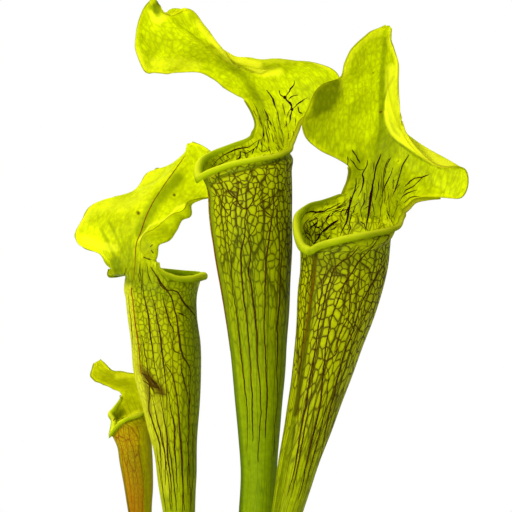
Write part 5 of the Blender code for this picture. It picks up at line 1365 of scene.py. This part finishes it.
def neckStreaks(points, station, leaf, draw):  # short dark streaks inside the neck, along its length
    count, first, last, least, greatest = leaf["streaks"]
    inward = sheetNormals(points)
    start = len(leaf["rings"]) - 1
    middle = points.shape[1] // 2
    spread = strandShape["streakSpread"]
    for _ in range(count):
        up = first + (last - first) * draw.uniform() ** 1.5
        row = int(np.searchsorted(station, start + up))
        column = draw.uniform(-spread, spread) * middle + middle
        rows = np.arange(row, min(row + int(draw.uniform(*strandShape["streakRows"])), len(points) - 1))
        columns = column + 0.8 * np.sin(np.linspace(0, draw.uniform(1, 4), len(rows)) + draw.uniform(0, 6))
        left = columns.astype(int)
        share = (columns - left)[:, None]
        path = points[rows, left] * (1 - share) + points[rows, left + 1] * share
        normals = unit(inward[rows, left] * (1 - share) + inward[rows, left + 1] * share)
        length = np.linalg.norm(np.diff(path, axis=0), axis=1).sum()
        width = draw.uniform(least, greatest) * min(length / 6, 1)
        if len(rows) > 3:
            yield path + (leafGrid["thickness"] + strandShape["above"]) * normals, normals, width


def ridgeVeins(points, station, leaf):  # the vein along the wing's edge or along the back
    inward = sheetNormals(points)
    for place, first, last, width in leaf["ridges"]:
        rows = np.flatnonzero((station >= first) & (station <= last))
        if place == "edge":
            path = points[rows, 0]
            outward = unit((path - points[rows].mean(axis=1)) * [1, 1, 0])
        else:
            path = points[rows, points.shape[1] // 2]
            outward = -inward[rows, points.shape[1] // 2]
        yield path + 0.05 * outward, outward, width


def layStrands(name, leafObject, points, station, leaf):
    draw = np.random.default_rng(strandShape["seed"])
    for tone in strandTones:
        veins = list(drawnVeins(leafObject, leaf["strands"][tone], draw))
        if tone == "purple":
            veins += neckStreaks(points, station, leaf, draw)
        if tone == "rust":
            veins += ridgeVeins(points, station, leaf)
        allPoints, faces = [], []
        for path, normals, width in veins:
            strand, strandFaces = strandTube(path, normals, width, width * 40)
            faces += [[corner + len(allPoints) for corner in face] for face in strandFaces]
            allPoints += strand.tolist()
        if faces:
            strands = meshPiece(name + tone.title() + "Strands", allPoints, faces, [strandTones[tone]])
            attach(strands, "root")


def growLeaf(name, node, leaf):  # the sheet with its rolled lip, thickened, and its strands
    points, station, at, places = leafSheet(leaf)
    points = rippleSheet(points, station, at, places, leaf)
    rows, columns = points.shape[:2]
    closed = int(np.searchsorted(station, len(leaf["rings"]) - 1)) + 1
    lipEnd = int(np.searchsorted(station, len(leaf["rings"]) - 1 + len(leaf["mouth"]) + leaf["lip"][2])) + 1
    points[:closed, -1] = points[:closed, 0]
    edge = np.concatenate([points[closed - 1 :, 0], points[closed - 1 :, -1]])
    fields = leafFields(points, station, at, places, leaf, edge)
    index = np.arange(rows * columns).reshape(rows, columns)
    index[:closed, -1] = index[:closed, 0]
    faces = quadFaces(index, flip=True)
    faces.append(index[0, :-1].tolist())
    rimIndex = np.concatenate([index[closed - 1 : lipEnd, 0][::-1], index[closed:lipEnd, -1]])
    flat = points.reshape(-1, 3)
    lines = lipLines(flat[rimIndex], leaf)
    steps = leafGrid["lipSteps"]
    lipIndex = rows * columns + np.arange(len(lines) * steps).reshape(-1, steps)
    faces += quadFaces(np.concatenate([rimIndex[:, None], lipIndex], axis=1), flip=True)
    allPoints = np.concatenate([flat, lines.reshape(-1, 3)])
    rolled = rollAngles()
    shade, first, full = leafGrid["lipShade"]
    below = np.tile(shade * smoothStep(first, full, rolled), len(rimIndex))
    shine, middle, spread = leafGrid["lipLight"]
    above = np.tile(shine * np.exp(-(((rolled - middle) / spread) ** 2)), len(rimIndex))
    joined = {}
    for field, values in fields.items():
        rimValues = np.repeat(values.reshape(-1, 3)[rimIndex], steps, axis=0)
        if field == "leafPlace":
            rimValues[:, 1] = -1.0  # on the lip
        if field == "leafShade":  # the roll is lit on top and dull below
            # painted highlight on the roll's top and painted shade under it
            rimValues[:, 0] = np.maximum(rimValues[:, 0], below)
            rimValues[:, 1] = above
        joined[field] = np.concatenate([values.reshape(-1, 3), rimValues])
    obj = meshPiece(name, allPoints, faces, [amberSkin if leaf["amber"] else waxSkin, trapLining], joined)
    work = bmesh.new()
    work.from_mesh(obj.data)
    bmesh.ops.delete(work, geom=[v for v in work.verts if not v.link_faces], context="VERTS")
    work.to_mesh(obj.data)
    work.free()
    shell = obj.modifiers.new("Thickness", "SOLIDIFY")
    shell.thickness = leafGrid["thickness"] * mm
    shell.offset = -1
    shell.material_offset = 1
    applyModifiers(obj, 50)
    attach(obj, "root")
    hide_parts(node)
    layStrands(name, obj, points, station, leaf)
    print(name, "grown:", len(obj.data.polygons), "faces")


growLeaf("tallPitcherLeaf", "pitcher_tall", tallPitcher)
growLeaf("rightPitcherLeaf", "pitcher_right", rightPitcher)
growLeaf("leftPitcherLeaf", "pitcher_left", leftPitcher)
growLeaf("smallPitcherLeaf", "pitcher_small", smallPitcher)


clayPot = {
    "height": 145.0,
    "footRadius": 52.0,
    "topRadius": 76.0,
    "wall": 5.0,
    "floor": 7.0,
    "collar": 28.0,
    "collarStep": 4.0,
    "collarTaper": 1.6,
    "rounding": 1.6,
    "steps": 144,
    "drains": (4, 27.0, 4.5),  # count, circle, radius
    "clay": "A8572F",
    "clayDark": "854022",
    "bloom": "D9B59C",
    "roughness": (0.78, 0.94),
    "grit": 900.0,  # noise to a metre: grains of 1 mm, coarser than real ones so that they show
    "patches": 22.0,
    "turning": 420.0,  # the marks of turning lie 2 mm apart
}


# low-fired clay, wheel-turned: dry, matte and a little chalky where salts came out
def terracotta(settings):
    tone = {part: linearColour(settings[part]) for part in ("clay", "clayDark", "bloom")}
    material, add = newMaterial("unglazed terracotta")
    spot = add("TexCoord").outputs["Object"]
    speck = add("TexNoise", {"Scale": settings["grit"], "Detail": 2.0}, {"Vector": spot})
    cloud = add("TexNoise", {"Scale": settings["patches"], "Detail": 4.0}, {"Vector": spot})
    flat = add("Mapping", {"Scale": (4.0, 4.0, settings["turning"])}, {"Vector": spot})
    turning = add("TexNoise", {"Scale": 1.0, "Detail": 2.0}, {"Vector": flat})
    shade = {"From Min": 0.3, "From Max": 0.62, "To Min": 0.25, "To Max": 1.0}
    shade = add("MapRange", shade, {"Value": cloud})
    base = add("Mix", colourMix | {6: tone["clayDark"], 7: tone["clay"]}, {0: shade})
    salt = smooth | {"From Min": 0.54, "From Max": 0.74, "To Min": 0.0, "To Max": 0.5}
    salt = add("MapRange", salt, {"Value": cloud})
    salted = add("Mix", colourMix | {7: tone["bloom"]}, {0: salt, 6: base})
    dusty = add("MapRange", noiseRange | {"To Min": 0.88, "To Max": 1.1}, {"Value": speck})
    speckled = add("Mix", colourMix | {"blend_type": "MULTIPLY", 0: 1.0}, {6: salted, 7: dusty})
    relief = add("Math", {"operation": "MULTIPLY_ADD", 1: 0.35}, {0: speck, 2: turning})
    bump = add("Bump", {"Strength": 0.5, "Distance": 0.0006}, {"Height": relief})
    least, most = settings["roughness"]
    dry = add("MapRange", noiseRange | {"To Min": least, "To Max": most}, {"Value": cloud})
    clay = add("BsdfPrincipled", {"IOR": 1.5}, {"Base Color": speckled, "Roughness": dry, "Normal": bump})
    add("OutputMaterial", links={"Surface": clay})
    return material


def coneRadius(height, inside=0.0):
    s = clayPot
    return s["footRadius"] + (s["topRadius"] - s["footRadius"]) * height / s["height"] - inside


def roundedCorner(corner, radius, start, end, steps=5):  # quarter-round points at a corner, angles in degrees
    turn = np.radians(np.linspace(start, end, steps))
    return [(corner[0] + radius * math.cos(t), corner[1] + radius * math.sin(t)) for t in turn]


def throwPot():
    s = clayPot
    r, brim, top = s["rounding"], s["topRadius"] + s["collarStep"], s["height"]
    collarFoot, taper = top - s["collar"], s["collarTaper"]
    inner = coneRadius(top, s["wall"])
    # profile of radius and height, from the axis inside to the axis below
    profile = [(coneRadius(s["floor"], s["wall"]) * k, s["floor"]) for k in (0.3, 0.6, 0.9)]
    profile += [(coneRadius(h, s["wall"]), h) for h in np.linspace(s["floor"], top - 2 * r, 14)]
    profile += roundedCorner((inner + r, top - r), r, 180, 90)
    profile += roundedCorner((brim - r, top - r), r, 90, 0)
    profile += [(brim - taper * k, top - r - (s["collar"] - 3 * r) * k) for k in np.linspace(0.15, 0.9, 5)]
    profile += roundedCorner((brim - taper - r, collarFoot + r), r, 0, -90)
    profile += [(coneRadius(h), h) for h in np.linspace(collarFoot - r, 2 * r, 12)]
    profile += roundedCorner((coneRadius(0) - r, r), r, 0, -90)
    profile += [(s["footRadius"] * k, 0) for k in (0.8, 0.4)]
    angles = np.arange(s["steps"]) * math.tau / s["steps"]
    points = [(r * math.cos(a), r * math.sin(a), z) for r, z in profile for a in angles]
    points = [(0, 0, s["floor"]), *points, (0, 0, 0)]
    pot = meshPiece("turnedClayPot", points, turnedFaces(s["steps"], len(profile)), [terracotta(s)])
    count, circle, radius = s["drains"]
    for k in range(count):
        turn = math.tau * (k + 0.5) / count
        place = (circle * mm * math.cos(turn), circle * mm * math.sin(turn), s["floor"] * mm / 2)
        bpy.ops.mesh.primitive_cylinder_add(
            vertices=32, radius=radius * mm, depth=3 * s["floor"] * mm, location=place
        )
        drill = bpy.context.active_object
        cut = pot.modifiers.new("Drain", "BOOLEAN")
        cut.object = drill
        cut.operation = "DIFFERENCE"
        cut.solver = "EXACT"
        applyModifiers(pot, 40)
        bpy.data.objects.remove(drill)
    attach(pot, "root")
    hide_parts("pot")
    print("pot thrown")


throwPot()


peatBed = {
    "top": 125.0,
    "dome": 1.5,
    "clear": 0.3,
    "waves": (  # along x, along y, phase
        (0.21, 0.13, 0.3),
        (-0.17, 0.26, 1.9),
        (0.41, -0.33, 2.6),
        (0.72, 0.61, 0.8),
        (-0.95, 0.8, 4.1),
    ),
    "rough": 0.25,
    "steps": 160,
    "rings": 70,
    "crumbs": 1500,
    "crumbSizes": (0.5, 1.9),
    "perlite": 150,
    "grainSizes": (0.8, 2.0),
    "seed": 11,
    "peat": "2E1D12",
    "peatDry": "5A4030",
    "perliteWhite": "DAD8CE",
    "perliteShade": "B8B4A6",
    "lumps": 170.0,  # noise to a metre: lumps of 6 mm, with fibres of 1 mm, a little coarser than real ones
    "fibres": 900.0,
}
rhizomeRoute = (  # x, y, share of the full radius
    (-51.5, 35.5, 0.3),
    (-48.5, 33.0, 0.72),
    (-43.0, 29.0, 0.92),
    (-36.5, 23.5, 0.86),
    (-29.0, 18.0, 1.08),
    (-18.0, 13.0, 0.9),
    (-6.0, 9.5, 0.86),
    (5.0, 7.5, 1.02),
    (12.0, 5.0, 1.12),
    (17.5, -2.0, 1.04),
    (20.0, -13.0, 1.08),
    (22.5, -21.0, 0.8),
    (24.0, -26.0, 0.4),
)


def peatCrumb(name, pale, deep, roughness):  # milled peat or puffed perlite: dull, porous, no sheen
    material, add = newMaterial(name)
    spot = add("TexCoord").outputs["Object"]
    lump = add("TexNoise", {"Scale": peatBed["lumps"], "Detail": 4.0}, {"Vector": spot})
    fibre = add("TexNoise", {"Scale": peatBed["fibres"], "Detail": 2.0}, {"Vector": spot})
    share = add("MapRange", {"From Min": 0.38, "From Max": 0.68}, {"Value": lump})
    colour = add("Mix", colourMix | {6: linearColour(deep), 7: linearColour(pale)}, {0: share})
    bump = add("Bump", {"Strength": 0.8, "Distance": 0.0008}, {"Height": fibre})
    dull = {"IOR": 1.4, "Roughness": roughness}
    add("OutputMaterial", links={
        "Surface": add("BsdfPrincipled", dull, {"Base Color": colour, "Normal": bump}),
    })
    return material


def peatHeight(x, y):  # uneven top of the peat
    s = peatBed
    reach = np.hypot(x, y) / coneRadius(s["top"], clayPot["wall"])
    waves = 0.0
    for k, (a, b, c) in enumerate(s["waves"]):
        waves = waves + np.sin(a * x + b * y + c) * (0.55 / (1 + 0.6 * k))
    height = s["top"] + s["dome"] * (1 - reach**2) + waves * 0.6 * (1 - smoothStep(0.85, 1.0, reach))
    return height - 0.8 * smoothStep(0.8, 1.0, reach)


def fillPeat():
    s = peatBed
    draw = np.random.default_rng(s["seed"])
    inside = clayPot["wall"] + s["clear"]
    floorHeight = clayPot["floor"] + s["clear"]
    steps, rings = s["steps"], s["rings"]
    topRadius = coneRadius(s["top"], inside)
    angles = np.arange(steps) * math.tau / steps
    points = [(0.0, 0.0, float(peatHeight(0.0, 0.0)))]
    for k in range(1, rings + 1):
        r = topRadius * k / rings
        x, y = r * np.cos(angles), r * np.sin(angles)
        rough = draw.normal(0, s["rough"], steps) * (1 if k < rings else 0)
        points += np.stack([x, y, peatHeight(x, y) + rough], axis=1).tolist()
    sides = (110.0, 60.0, floorHeight)
    for h in sides:
        r = coneRadius(h, inside)
        points += np.stack([r * np.cos(angles), r * np.sin(angles), np.full(steps, h)], axis=1).tolist()
    points.append((0.0, 0.0, floorHeight))
    dark = peatCrumb("milled peat", s["peatDry"], s["peat"], 0.95)
    white = peatCrumb("expanded perlite", s["perliteWhite"], s["perliteShade"], 0.8)
    bed = meshPiece("peatBed", points, turnedFaces(steps, rings + len(sides)), [dark])
    route = np.array(rhizomeRoute)

    def freePlaces(count, keep):  # places on the peat that keep this far from the rhizome
        places = []
        while len(places) < count:
            r = (topRadius - 1.5) * math.sqrt(draw.uniform())
            t = draw.uniform(0, math.tau)
            x, y = r * math.cos(t), r * math.sin(t)
            if np.min(np.hypot(route[:, 0] - x, route[:, 1] - y)) > keep:
                places.append((x, y, float(peatHeight(x, y))))
        return np.array(places)

    places = freePlaces(s["crumbs"], 9.0)
    sizes = draw.uniform(*s["crumbSizes"], s["crumbs"])
    crumbs = scatterLumps("peatCrumbs", places, sizes, 0.7, 3, dark)
    places = freePlaces(s["perlite"], 12.0) + [0, 0, 0.3]
    sizes = draw.uniform(*s["grainSizes"], s["perlite"])
    grains = scatterLumps("perliteGrains", places, sizes, 0.8, 5, white)
    for obj in (bed, crumbs, grains):
        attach(obj, "root")
    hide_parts("soil")
    print("peat filled")


fillPeat()


creepingStem = {
    "radius": 11.5,
    "centre": 120.5,
    "around": 56,
    "along": 190,
    "scars": (0.5, 4.6),  # height, distance apart
    "barkRamp": ((0.32, "3A2012"), (0.5, "6A4022"), (0.7, "8A4A2A")),
    "patches": 130.0,  # noise to a metre: patches of 8 mm, with fibres of 1.5 mm, coarser than real ones
    "fibres": 700.0,
}


def rhizomeBark(settings):  # dead leaf scales over a living stem: dull brown with paler scars across it
    material, add = newMaterial("scaly rhizome bark")
    spot = add("TexCoord").outputs["Object"]
    cloud = add("TexNoise", {"Scale": settings["patches"], "Detail": 4.0}, {"Vector": spot})
    fibre = add("TexNoise", {"Scale": settings["fibres"], "Detail": 3.0}, {"Vector": spot})
    colour = add("ValToRGB", links={"Fac": cloud})
    colour.color_ramp.elements.new(0.5)
    for element, (place, code) in zip(colour.color_ramp.elements, settings["barkRamp"]):
        element.position = place
        element.color = linearColour(code)
    bump = add("Bump", {"Strength": 0.7, "Distance": 0.0008}, {"Height": fibre})
    bark = add("BsdfPrincipled", {"IOR": 1.45, "Roughness": 0.8}, {"Base Color": colour, "Normal": bump})
    add("OutputMaterial", links={"Surface": bark})
    return material


def growRhizome():
    s = creepingStem
    stations = np.array(rhizomeRoute)
    route = smoothThrough(stations, np.arange(len(stations)), np.linspace(0, len(stations) - 1, s["along"]))
    centre = np.stack([route[:, 0], route[:, 1], np.full(len(route), s["centre"])], axis=1)
    forward = unit(np.gradient(centre, axis=0))
    side = unit(np.cross(forward, [0, 0, 1.0]))
    up = np.cross(side, forward)
    length = lengthAlong(centre)[:, None]
    angle = (np.arange(s["around"]) * math.tau / s["around"])[None, :]
    height, apart = s["scars"]
    scar = height * np.abs(np.sin(length * math.pi / apart + 0.6 * np.sin(length * 0.4)))
    lumps = 0.35 * np.sin(3 * angle + length * 0.35) + 0.25 * np.sin(7 * angle - length * 0.8)
    share = route[:, 2][:, None]
    radius = (s["radius"] * share * 0.98 + (scar + lumps - 0.6) * np.minimum(share, 1))[..., None]
    angle = angle[..., None]
    points = centre[:, None] + radius * (np.cos(angle) * side[:, None] + np.sin(angle) * up[:, None])
    stem = meshPiece("creepingRhizome", points.reshape(-1, 3), tubeFaces(*points.shape[:2]), [rhizomeBark(s)])
    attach(stem, "root")
    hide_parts("rhizome")
    print("rhizome grown")


growRhizome()
